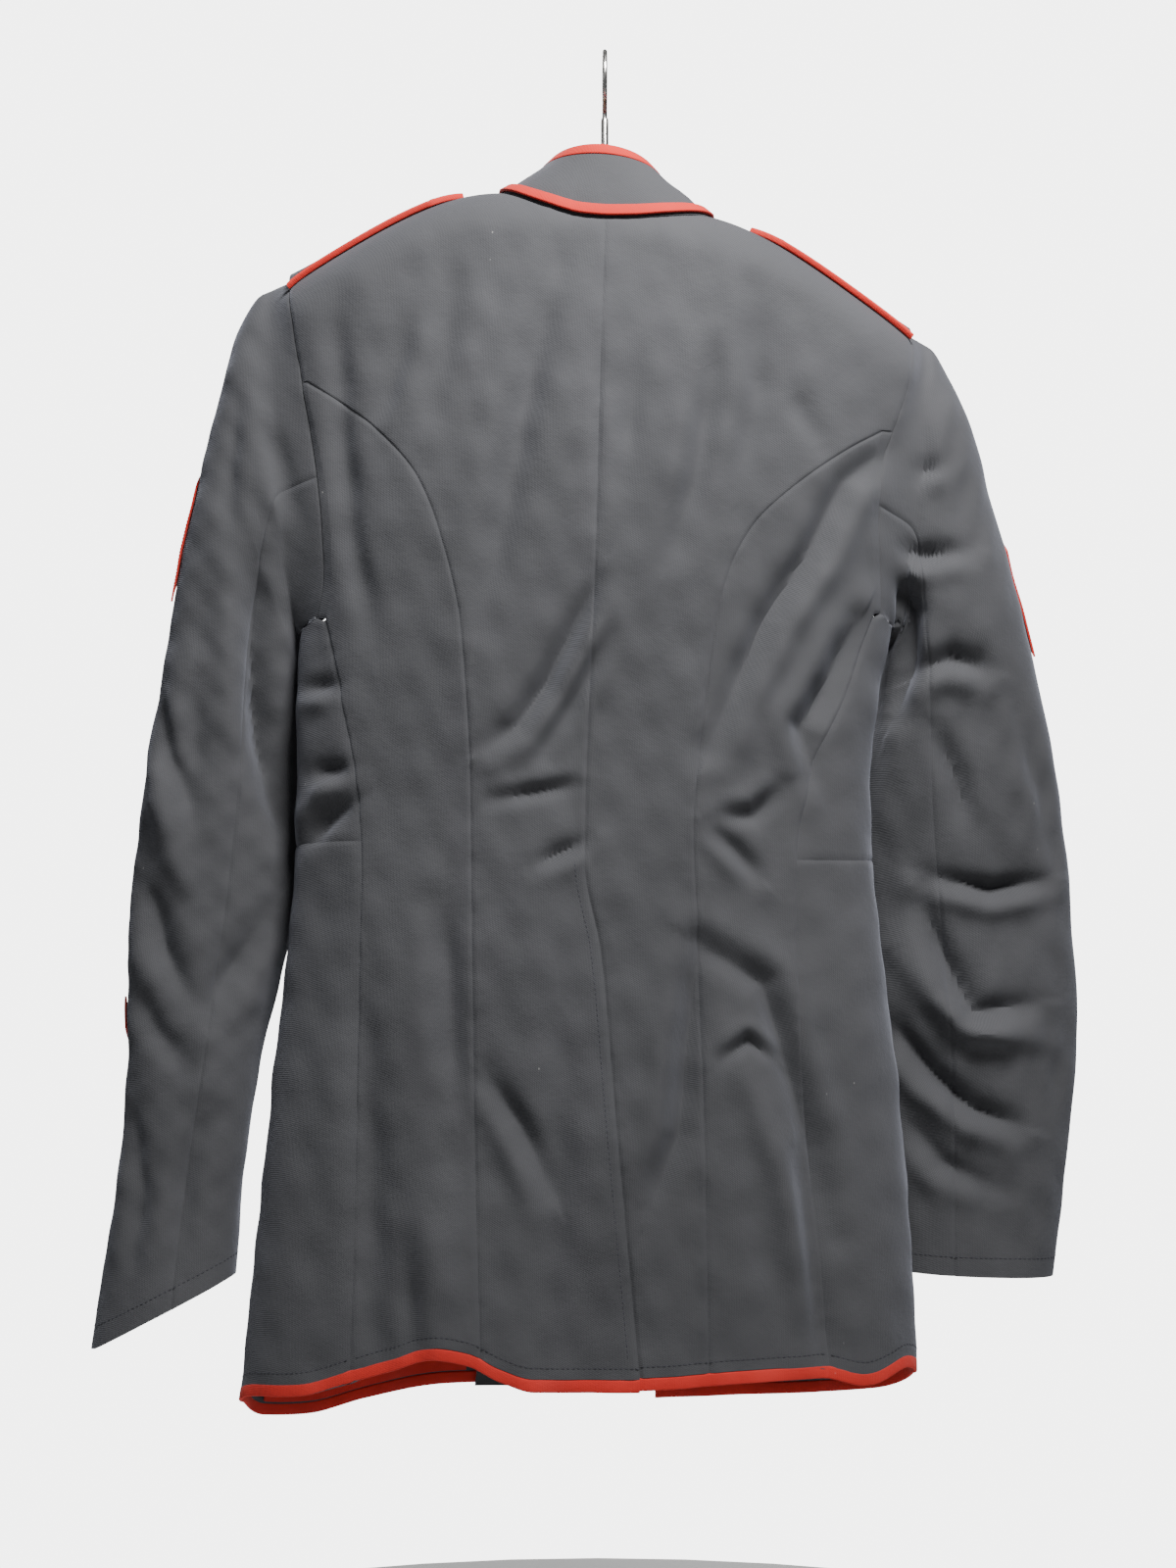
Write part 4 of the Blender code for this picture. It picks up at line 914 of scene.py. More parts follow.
def sweep(name: str, sections: Array, sharp: float = 55.0) -> bpy.types.Object:
    """A solid through closed sections.

    Args:
        name: the piece's name.
        sections: one ring of places for each station.
        sharp: see mesh_object.
    Returns:
        The object.
    """
    count, around = sections.shape[:2]
    middle = sections[0].mean(0)
    spin = np.cross(sections[0, 0] - middle, sections[0, 1] - middle)
    faces = []
    for low in range(0, (count - 1) * around, around):
        for c in range(around):
            after = (c + 1) % around
            faces.append((low + c, low + after, low + around + after, low + around + c))
    faces.append(tuple(range(around))[::-1])
    faces.append(tuple((count - 1) * around + c for c in range(around)))
    if np.dot(spin, sections[1].mean(0) - middle) < 0:
        faces = [face[::-1] for face in faces]
    return mesh_object(name, sections.reshape(-1, 3), faces, sharp)


def band_sections(line: Array, down: Array, out: Array, height: float, wall: float, soft: float) -> Array:
    """Sections of a flat band with rounded edges.

    Args:
        line: places of its upper edge's outer face.
        down: directions from the upper to the lower edge.
        out: directions out of its face.
        height: from the upper to the lower edge.
        wall: its thickness.
        soft: radius of its corners.
    Returns:
        Rings of places.
    """
    corners = (
        (soft, soft, 90.0), (height - soft, soft, 0.0),
        (height - soft, wall - soft, -90.0), (soft, wall - soft, 180.0),
    )
    profile = []
    for along_down, into, start in corners:
        for step in (90.0, 60.0, 30.0, 0.0):
            turn = math.radians(start + step)
            profile.append((along_down + soft * math.cos(turn), into - soft * math.sin(turn)))
    profile = np.array(profile)
    return line[:, None] + down[:, None] * profile[None, :, :1] - out[:, None] * profile[None, :, 1:]


@dataclass(frozen=True)
class Board:
    """A material's node tree, with short ways to add to it."""

    material: bpy.types.Material

    @classmethod
    def named(cls, name: str) -> "Board":
        """A board on a new material.

        Args:
            name: the material's name.
        Returns:
            The board.
        """
        material = bpy.data.materials.new(name)
        material.use_nodes = True
        return cls(material)

    @property
    def shader(self) -> bpy.types.Node:
        """The surface shader."""
        return self.material.node_tree.nodes["Principled BSDF"]

    def node(self, kind: str, **values: object) -> bpy.types.Node:
        """Adds a node; values set its options, or its inputs where they are named so.

        Args:
            kind: its type.
            values: numbers or words under the names of its options or inputs.
        Returns:
            The node.
        """
        node = self.material.node_tree.nodes.new(kind)
        for key, value in values.items():
            if key in node.inputs:
                node.inputs[key].default_value = value
            else:
                setattr(node, key, value)
        return node

    def link(self, source: bpy.types.NodeSocket, target: bpy.types.NodeSocket) -> None:
        """Joins two sockets."""
        self.material.node_tree.links.new(source, target)

    def math(
        self, operation: str, first: object, second: object = 0.0, third: object = 0.0,
    ) -> bpy.types.NodeSocket:
        """A sum or other operation on sockets or numbers.

        Args:
            operation: its name.
            first: a socket or a number.
            second: a socket or a number.
            third: a socket or a number.
        Returns:
            The result.
        """
        node = self.node("ShaderNodeMath", operation=operation)
        for socket, value in zip(node.inputs, (first, second, third)):
            if isinstance(value, bpy.types.NodeSocket):
                self.link(value, socket)
            else:
                socket.default_value = value
        return node.outputs[0]

    def place(self, scale: Triple = (1.0, 1.0, 1.0)) -> bpy.types.NodeSocket:
        """The place on the object, stretched.

        Args:
            scale: how much each axis is squeezed.
        Returns:
            The place, as a vector.
        """
        coordinates = self.node("ShaderNodeTexCoord")
        mapping = self.node("ShaderNodeMapping", Scale=scale)
        self.link(coordinates.outputs["Object"], mapping.inputs["Vector"])
        return mapping.outputs[0]

    def noise(self, scale: float, detail: float = 3.0, stretch: Triple = (1, 1, 1)) -> bpy.types.NodeSocket:
        """A cloudy value from 0 to 1.

        Args:
            scale: clouds to a metre, roughly.
            detail: how many finer layers it has.
            stretch: how much each axis is squeezed.
        Returns:
            The value.
        """
        node = self.node("ShaderNodeTexNoise", Scale=scale, Detail=detail)
        self.link(self.place(stretch), node.inputs["Vector"])
        return node.outputs["Fac"]

    def spread(
        self, value: bpy.types.NodeSocket, low: float, high: float, to_low: float = 0.0, to_high: float = 1.0,
    ) -> bpy.types.NodeSocket:
        """Stretches a value from one range to another.

        Args:
            value: what is stretched.
            low: where the old range starts.
            high: where it ends.
            to_low: where the new range starts.
            to_high: where it ends.
        Returns:
            The new value.
        """
        node = self.node("ShaderNodeMapRange", interpolation_type="SMOOTHSTEP")
        self.link(value, node.inputs["Value"])
        for name, number in (("From Min", low), ("From Max", high), ("To Min", to_low), ("To Max", to_high)):
            node.inputs[name].default_value = number
        return node.outputs[0]

    def mix(self, share: object, first: object, second: object) -> bpy.types.NodeSocket:
        """Blends two colours.

        Args:
            share: how much of the second colour shows.
            first: a socket or a colour.
            second: a socket or a colour.
        Returns:
            The blend.
        """
        node = self.node("ShaderNodeMix", data_type="RGBA")
        for socket, value in ((node.inputs[0], share), (node.inputs[6], first), (node.inputs[7], second)):
            if isinstance(value, bpy.types.NodeSocket):
                self.link(value, socket)
            else:
                socket.default_value = value
        return node.outputs[2]

    def bump(
        self, height: bpy.types.NodeSocket, distance: float, strength: float,
        under: bpy.types.NodeSocket | None = None,
    ) -> bpy.types.NodeSocket:
        """Relief from a value, on top of other relief.

        Args:
            height: the value that stands for height.
            distance: its reach, in metres.
            strength: from 0 to 1.
            under: the relief beneath.
        Returns:
            The new normal.
        """
        node = self.node("ShaderNodeBump", Distance=distance, Strength=strength)
        self.link(height, node.inputs["Height"])
        if under is not None:
            self.link(under, node.inputs["Normal"])
        return node.outputs[0]


@dataclass(frozen=True)
class Wool:
    """Twill-woven wool with a soft nap, faint creases, rubbed places, a little lint, and painted shade in the
    twill's grooves.
    """

    name: str
    colour: Triple
    rubbed: Triple
    sheen: float = 0.25
    sheen_tint: Triple = (0.8, 0.84, 1.0)
    roughness: float = 0.88
    twill_per_metre: float = 900.0
    lint: float = 1.0

    def build(self) -> bpy.types.Material:
        """Makes the material.

        Returns:
            The material.
        """
        board = Board.named(self.name)
        shader = board.shader
        split = board.node("ShaderNodeSeparateXYZ")
        board.link(board.place(), split.inputs[0])
        x, y, z = split.outputs
        flat = board.math("ADD", x, board.math("MULTIPLY", y, 0.83))
        slant = board.math("ADD", board.math("MULTIPLY", flat, 0.55), z)
        rib = board.math("SINE", board.math("MULTIPLY", slant, math.tau * self.twill_per_metre))
        thread = board.math("SINE", board.math("MULTIPLY", flat, math.tau * self.twill_per_metre * 0.72))
        weave = board.math("ADD", board.math("MULTIPLY", rib, 0.7), board.math("MULTIPLY", thread, 0.3))
        broad = board.noise(9.0, 4.0)
        streak = board.noise(26.0, 4.0, (1.0, 1.0, 0.35))
        nap = board.noise(900.0, 2.0)
        base = board.mix(board.spread(broad, 0.35, 0.7), shade(self.colour), shade(self.colour, 1.16))
        base = board.mix(board.spread(streak, 0.5, 0.78, 0.0, 0.3), base, shade(self.rubbed))
        # Painted shade: the colour darkens towards 0.45 of itself where the weave is low, in the grooves that
        # its relief carves.
        base = board.mix(board.spread(weave, -1.0, 0.4, 0.30, 0.0), base, shade(self.colour, 0.45))
        speck = board.node("ShaderNodeTexVoronoi", Scale=70.0, Randomness=1.0)
        board.link(board.place((1.0, 1.0, 0.7)), speck.inputs["Vector"])
        fleck = board.spread(speck.outputs["Distance"], 0.02, 0.05, 0.55 * self.lint, 0.0)
        sparse = board.spread(board.noise(31.0, 1.0), 0.62, 0.66)
        base = board.mix(board.math("MULTIPLY", fleck, sparse), base, (0.42, 0.42, 0.40, 1))
        board.link(base, shader.inputs["Base Color"])
        rough = board.spread(streak, 0.3, 0.8, self.roughness + 0.05, self.roughness - 0.1)
        board.link(rough, shader.inputs["Roughness"])
        shader.inputs["Sheen Weight"].default_value = self.sheen
        shader.inputs["Sheen Roughness"].default_value = 0.45
        shader.inputs["Sheen Tint"].default_value = shade(self.sheen_tint)
        shader.inputs["Specular IOR Level"].default_value = 0.25
        creased = board.noise(34.0, 5.0, (1.0, 1.0, 0.55))
        relief = board.bump(creased, 0.004, 0.09)
        relief = board.bump(board.noise(160.0, 3.0), 0.0009, 0.35, relief)
        relief = board.bump(nap, 0.0003, 0.45, relief)
        relief = board.bump(weave, 0.00022, 0.35, relief)
        board.link(relief, shader.inputs["Normal"])
        return board.material


@dataclass(frozen=True)
class Metal:
    """Polished or plated metal with fine rubbing marks and a slightly dull bloom."""

    name: str
    colour: Triple
    dull: Triple
    roughness: float

    def build(self) -> bpy.types.Material:
        """Makes the material.

        Returns:
            The material.
        """
        board = Board.named(self.name)
        shader = board.shader
        bloom = board.spread(board.noise(120.0, 4.0), 0.42, 0.72)
        board.link(board.mix(bloom, shade(self.colour), shade(self.dull)), shader.inputs["Base Color"])
        scratch = board.noise(1500.0, 2.0, (1.0, 1.0, 0.1))
        rubbed = board.spread(scratch, 0.3, 0.7, self.roughness - 0.05, self.roughness + 0.08)
        rough = board.math("ADD", rubbed, board.math("MULTIPLY", bloom, 0.12))
        board.link(rough, shader.inputs["Roughness"])
        shader.inputs["Metallic"].default_value = 1.0
        board.link(board.bump(scratch, 0.0001, 0.15), shader.inputs["Normal"])
        return board.material


@dataclass(frozen=True)
class Wood:
    """Varnished wood with grain along the hanger's bar."""

    name: str = "varnished wood"
    light: Triple = (0.46, 0.27, 0.13)
    dark: Triple = (0.20, 0.10, 0.045)

    def build(self) -> bpy.types.Material:
        """Makes the material.

        Returns:
            The material.
        """
        board = Board.named(self.name)
        shader = board.shader
        grain = board.noise(210.0, 6.0, (0.06, 1.0, 1.0))
        fine = board.noise(1400.0, 3.0, (0.03, 1.0, 1.0))
        mixed = board.math("ADD", board.math("MULTIPLY", grain, 0.75), board.math("MULTIPLY", fine, 0.25))
        share = board.spread(mixed, 0.36, 0.62)
        board.link(board.mix(share, shade(self.dark), shade(self.light)), shader.inputs["Base Color"])
        board.link(board.spread(fine, 0.3, 0.7, 0.42, 0.30), shader.inputs["Roughness"])
        shader.inputs["Coat Weight"].default_value = 0.35
        shader.inputs["Coat Roughness"].default_value = 0.15
        board.link(board.bump(mixed, 0.0004, 0.4), shader.inputs["Normal"])
        return board.material


@dataclass(frozen=True)
class Paint:
    """A plain pale floor with a faint unevenness."""

    name: str = "pale floor"
    colour: Triple = (0.80, 0.80, 0.79)

    def build(self) -> bpy.types.Material:
        """Makes the material.

        Returns:
            The material.
        """
        board = Board.named(self.name)
        cloud = board.spread(board.noise(3.0, 3.0), 0.3, 0.7)
        colour = board.mix(cloud, shade(self.colour), shade(self.colour, 0.96))
        board.link(colour, board.shader.inputs["Base Color"])
        board.shader.inputs["Roughness"].default_value = 0.85
        return board.material


@dataclass(frozen=True)
class StitchRow:
    """A row of thread stitches laid on a line."""

    length: float = 2.3
    gap: float = 0.9
    radius: float = 0.24

    def build(self, name: str, line: Array, out: Array) -> bpy.types.Object:
        """Makes the stitches as one piece.

        Args:
            name: the piece's name.
            line: places that the row follows.
            out: directions out of the cloth there.
        Returns:
            The piece.
        """
        run = run_length(line)
        pitch = self.length + self.gap
        count = int(run[-1] / pitch)
        stations = np.array([0.0, 0.18, 0.5, 0.82, 1.0])
        sizes = np.tile([0.45, 0.9, 1.0, 0.9, 0.45], count)
        sinks = np.tile([0.9, 0.25, 0.0, 0.25, 0.9], count)
        around, ahead = 6, 0.4
        at = (((np.arange(count) + 0.2) * pitch)[:, None] + stations * self.length).ravel()
        place = read_columns(at, run, line)
        way = unit(read_columns(at + ahead, run, line) - place)
        up = unit(read_columns(at, run, out))
        side = unit(np.cross(way, up))
        lifted = place + up * (self.radius * (0.45 - sinks))[:, None]
        turn = round_steps(around)[None, :, None]
        spoke = np.cos(turn) * side[:, None] + np.sin(turn) * up[:, None]
        ring = lifted[:, None] + (sizes * self.radius)[:, None, None] * spoke
        faces: list[tuple[int, ...]] = []
        for base in range(0, count * around * len(stations), around * len(stations)):
            for low in range(base, base + around * (len(stations) - 1), around):
                for c in range(around):
                    after = (c + 1) % around
                    faces.append((low + c, low + after, low + around + after, low + around + c))
            faces.append(tuple(base + c for c in range(around))[::-1])
            faces.append(tuple(base + around * (len(stations) - 1) + c for c in range(around)))
        return mesh_object(name, ring.reshape(-1, 3), faces, 80)


@dataclass
class Wardrobe:
    """The finishes, and how a finished piece is put in the frame."""

    cloth: dict[Dye, bpy.types.Material] = field(init=False)
    thread: dict[Dye, bpy.types.Material] = field(init=False)
    brass: bpy.types.Material = field(init=False)
    steel: bpy.types.Material = field(init=False)
    wood: bpy.types.Material = field(init=False)
    navy: Triple = (0.067, 0.068, 0.073)
    scarlet: Triple = (0.60, 0.030, 0.022)
    least_share: float = 0.31
    narrowest: float = 0.0102
    turned_in: float = 1.15

    def __post_init__(self) -> None:
        """Makes each finish once."""
        scarlet = Wool(
            "scarlet wool", self.scarlet, (0.66, 0.06, 0.045), 0.2, (1.0, 0.6, 0.55), 0.85, 1000.0, 0.3,
        )
        dark = Wool("dark thread", (0.045, 0.045, 0.055), (0.06, 0.06, 0.07), 0.1, lint=0.0)
        red = Wool("scarlet thread", (0.50, 0.025, 0.02), (0.55, 0.04, 0.03), 0.1, (1.0, 0.6, 0.6), lint=0.0)
        navy = Wool("midnight wool", self.navy, (0.088, 0.088, 0.097))
        self.cloth = {Dye.NAVY: navy.build(), Dye.SCARLET: scarlet.build()}
        self.thread = {Dye.NAVY: dark.build(), Dye.SCARLET: red.build()}
        self.brass = Metal("polished brass", (0.86, 0.64, 0.28), (0.62, 0.44, 0.18), 0.24).build()
        self.steel = Metal("plated wire", (0.86, 0.85, 0.82), (0.62, 0.61, 0.58), 0.20).build()
        self.wood = Wood().build()

    def hang(
        self, item: bpy.types.Object, finish: bpy.types.Material, slot: str, nodes: Sequence[str] = (),
    ) -> bpy.types.Object:
        """Dresses a piece and lets it ride on the coat.

        Args:
            item: the piece.
            finish: its material.
            slot: not used.
            nodes: the solids that it stands for.
        Returns:
            The piece.
        """
        item.data.materials.append(finish)
        if nodes:
            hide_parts(*nodes)
        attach(item, "root")
        LOG.info("%s: %d faces", item.name, len(item.data.polygons))
        return item

    def declare(self, grid: Array) -> None:
        """Works out a cloth piece's flat width, length and area from its own rows and columns, and keeps none
        of them.

        Args:
            grid: its outer places.
        """
        width = float(np.linalg.norm(np.diff(grid, axis=1), axis=-1).sum(1).max()) * MM
        length = float(np.linalg.norm(np.diff(grid, axis=0), axis=-1).sum(0).max()) * MM
        across = grid[:-1, 1:] - grid[:-1, :-1]
        down = grid[1:, :-1] - grid[:-1, :-1]
        area = float(np.linalg.norm(np.cross(across, down), axis=-1).sum()) * MM * MM
        width = max(width, area / length)
        area = min(max(area, self.least_share * width * length), width * length)

    def declare_band(self, item: bpy.types.Object, line: Array) -> None:
        """Works out a piping's flat strip, its length and a width with both edges turned in, and keeps neither.

        Args:
            item: the piece.
            line: places along it.
        """
        length = float(np.linalg.norm(np.diff(line, axis=0), axis=-1).sum()) * MM
        surface = sum(face.area for face in item.data.polygons) / 2
        width = max(self.narrowest, self.turned_in * surface / length)

    def cut(
        self, node: str, grid: Array, out: Array, wall: float, dye: Dye = Dye.NAVY, flat: Array | None = None,
    ) -> None:
        """Makes a cut piece of cloth and dresses it; its flat cut is worked out but not kept.

        Args:
            node: the solid that it stands for.
            grid: rows of columns of outer places.
            out: directions out of it.
            wall: its thickness.
            dye: its colour.
            flat: places that its flat cut is read from, where they aren't its outer ones.
        """
        item = self.hang(shell(f"{node}_cloth", grid, out, wall), self.cloth[dye], dye.value, [node])
        self.declare(grid if flat is None else flat)

    def pipe(self, node: str, sections: Array, line: Array) -> None:
        """Makes a scarlet piping and dresses it; its flat strip is worked out but not kept.

        Args:
            node: the solid that it stands for.
            sections: a ring of places for each station.
            line: places along it.
        """
        item = sweep(f"{node}_cloth", sections)
        self.hang(item, self.cloth[Dye.SCARLET], Dye.SCARLET.value, [node])
        self.declare_band(item, line)

    def stitch(
        self, name: str, line: Array, out: Array, row: StitchRow = StitchRow(), dye: Dye = Dye.NAVY,
    ) -> None:
        """Sews a row of stitches.

        Args:
            name: the piece's name.
            line: places that the row follows.
            out: directions out of the cloth there.
            row: the stitches' sizes.
            dye: their colour.
        """
        self.hang(row.build(name, line, out), self.thread[dye], dye.value)


@dataclass
class Body:
    """Backs, side backs, fronts, skirts, the vent's underlap and the hem."""

    pattern: CoatPattern
    wardrobe: Wardrobe
    wall: float = 1.9
    hem_pipe: float = 8.0
    pipe_wall: float = 2.2
    pipe_soft: float = 0.95
    hem_stitches: float = 6.5
    vent_stitches: float = 6.0
    centre_split: float = 110.0 / 718.0
    underlap: tuple[float, float] = (0.1, 35.9)
    underlap_depth: float = 3.3
    facing_depth: float = 2.8

    def panel(self, node: str, grid: Array, seams: Sequence[str], lap: Lap | None = None) -> None:
        """Makes one cut piece of the body.

        Args:
            node: the solid that it stands for.
            grid: rows of columns of angle and height.
            seams: which of its edges are sewn.
            lap: extra lift where it passes over or under another piece.
        """
        place, out = self.pattern.cloth(grid[..., 0], grid[..., 1], lap)
        away = edge_distance(place, seams)
        pucker = SEAM_PUCKER.lift(place[..., 0] + place[..., 1], place[..., 2]) * np.exp(-((away / 9) ** 2))
        place = place + out * (pucker - SEAM_DIP * np.exp(-((away / 1.5) ** 2)))[..., None]
        self.wardrobe.cut(node, place, unit(grid_normals(place, out) + out), self.wall)

    def make_backs(self, side: Side) -> None:
        """The centre back and side back of one side.

        Args:
            side: the wearer's left or right.
        """
        pattern, cell, split = self.pattern, self.pattern.cell, self.centre_split
        start = pattern.princess_start(side)
        top = np.concatenate([
            pattern.neckline(side, Face.BACK, seam_steps(78, cell)),
            pattern.shoulder(side, Face.BACK, seam_steps(145, cell))[1:],
        ])
        first, rest = shoulder_steps(76.0, cell), seam_steps(640, cell)
        princess = pattern.princess(side, rest)
        outer = np.concatenate([pattern.armhole(side, Face.BACK, start * first), princess[1:]])
        inner = pattern.centre_line(np.concatenate([split * first, split + (1 - split) * rest[1:]]))
        bottom = pattern.hem_line(inner[-1, 0], princess[-1, 0], len(top))
        top[0], outer[0], outer[-1] = inner[0], top[-1], bottom[-1]
        grid = patch(top, bottom, inner, outer)
        self.panel(f"back_centre_{side.word}", grid, ("top", "inner", "outer"), pattern.lap(side, Face.BACK))
        lower = pattern.armhole(side, Face.BACK, start + (1 - start) * seam_steps(150, cell))
        seam = pattern.side_seam(side, rest)
        bottom = pattern.hem_line(princess[-1, 0], seam[-1, 0], len(lower))
        lower[0], lower[-1] = princess[0], seam[0]
        self.panel(f"side_back_{side.word}", patch(lower, bottom, princess, seam), ("top", "inner", "outer"))

    def make_fronts(self, side: Side) -> None:
        """The front and the front skirt of one side.

        Args:
            side: the wearer's left or right.
        """
        pattern, cell, lines = self.pattern, self.pattern.cell, SIDE_LINES[side]
        lap = pattern.lap(side, Face.FRONT)
        down = shoulder_steps(ARMHOLE_LENGTH, cell, 1.0)
        foot = seam_steps(34, cell)[::-1]
        share = pattern.waist_share(side)
        foot_start, foot_end, seam_rows = 0.685, 0.835, 46
        outer = np.concatenate([
            pattern.armhole(side, Face.FRONT, down),
            pattern.armhole_foot(side, foot)[1:],
            pattern.side_seam(side, share * np.linspace(0, 1, seam_rows))[1:],
        ])
        shares = np.concatenate([
            foot_start * down,
            np.linspace(foot_start, foot_end, len(foot))[1:],
            np.linspace(foot_end, 1, seam_rows)[1:],
        ])
        drop = pattern.waist_front - pattern.neck_front
        inner = pattern.front_edge(side, pattern.neck_front + shares * drop)
        neck_start = pattern.neckline(side, Face.FRONT, np.array([0.0]))[0, 0]
        lap_angles = np.linspace(inner[0, 0], neck_start, max(5, round(abs(lines.front_edge[0][0]) / cell) + 1))
        top = np.concatenate([
            np.stack([lap_angles, np.full(len(lap_angles), pattern.neck_front)], 1),
            pattern.neckline(side, Face.FRONT, seam_steps(100, cell))[1:],
            pattern.shoulder(side, Face.FRONT, seam_steps(145, cell))[1:],
        ])
        across = np.linspace(0, 1, len(top))
        waist = np.stack([
            inner[-1, 0] + (outer[-1, 0] - inner[-1, 0]) * across,
            pattern.waist_front + (lines.waist - pattern.waist_front) * smooth_step(across),
        ], 1)
        waist[-1] = outer[-1]
        top[0], outer[0] = inner[0], top[-1]
        self.panel(f"front_{side.word}", patch(top, waist, inner, outer), ("top", "bottom", "outer"), lap)
        outer = pattern.side_seam(side, share + (1 - share) * seam_steps(340, cell))
        outer[0] = waist[-1]
        inner = pattern.front_edge(side, np.linspace(pattern.waist_front, lines.front_edge[-1][1], len(outer)))
        inner[-1, 1] = pattern.hem_height(inner[-1, 0])
        bottom = pattern.hem_line(inner[-1, 0], outer[-1, 0], len(waist))
        self.panel(f"front_skirt_{side.word}", patch(waist, bottom, inner, outer), ("top", "outer"), lap)

    def make_underlap(self) -> None:
        """The strip behind the vent's open edge."""
        heights = np.linspace(self.pattern.vent_top - 6, -838, 100)
        near, width = self.underlap
        across = self.pattern.vent_edge(heights)[:, None] + (near + width * np.linspace(0, 1, 14))[None]
        height = np.broadcast_to(heights[:, None], across.shape)
        angle = self.pattern.form.angle_at(across, height, Face.BACK)
        place, out = self.pattern.cloth(angle, height, self.pattern.upper_vent)
        place = place - out * self.underlap_depth
        self.wardrobe.cut("vent_underlap", place, grid_normals(place, out), 1.5)

    def hem_span(self, side: Side, face: Face) -> tuple[float, float]:
        """First and last angle of a hem's piping; the right front's starts where the left one ends.

        Args:
            side: the wearer's left or right.
            face: the back or the front.
        Returns:
            The two angles, in degrees.
        """
        pattern, ends = self.pattern, np.array([0.0, 1.0])
        seam = float(pattern.side_seam(side, ends)[-1, 0])
        if face is Face.BACK:
            return float(pattern.centre_line(ends)[-1, 0]), seam
        end = float(SIDE_LINES[side].front_edge[-1][1])
        edge = float(pattern.front_edge(side, np.array([end]))[0, 0])
        if side is Side.RIGHT:
            edge += (seam - edge) / 6
        return edge, seam

    def make_hems(self) -> None:
        """Scarlet piping under the hem, the stitch row above it, and the left front's facing."""
        pattern = self.pattern
        for side in Side:
            for face in Face:
                word, lap = f"{face.value}_{side.word}", pattern.lap(side, face)
                angle = np.linspace(*self.hem_span(side, face), 110)
                height = pattern.hem_height(angle)
                upper, out = pattern.cloth(angle, height - 0.2, lap)
                lower, _ = pattern.cloth(angle, height - self.hem_pipe, lap)
                down = unit(lower - upper)
                sections = band_sections(
                    upper + out * 0.15, down, out, self.hem_pipe - 0.3, self.pipe_wall, self.pipe_soft,
                )
                self.wardrobe.pipe(f"hem_piping_{word}", sections, upper)
                line, out = pattern.cloth(angle, height + self.hem_stitches, lap)
                self.wardrobe.stitch(f"hem_stitches_{word}", line, out)
        angle = np.broadcast_to(np.linspace(108, 163, 60), (12, 60))
        place, out = pattern.cloth(angle, pattern.hem_height(angle) + np.linspace(30, 1, 12)[:, None])
        place = place - out * self.facing_depth
        self.wardrobe.cut("hem_facing_left", place, grid_normals(place, out), 1.2, Dye.SCARLET)

    def stitch_vent(self) -> None:
        """Stitches down the vent's upper edge."""
        heights = np.linspace(self.pattern.vent_top + 4, -836, 200)
        across = self.pattern.vent_edge(heights) + self.vent_stitches
        angle = self.pattern.form.angle_at(across, heights, Face.BACK)
        line, out = self.pattern.cloth(angle, heights, self.pattern.upper_vent)
        self.wardrobe.stitch("vent_stitches", line, out)

    def build(self) -> None:
        """Makes the whole body."""
        for side in Side:
            self.make_backs(side)
            self.make_fronts(side)
        self.make_underlap()
        self.make_hems()
        self.stitch_vent()


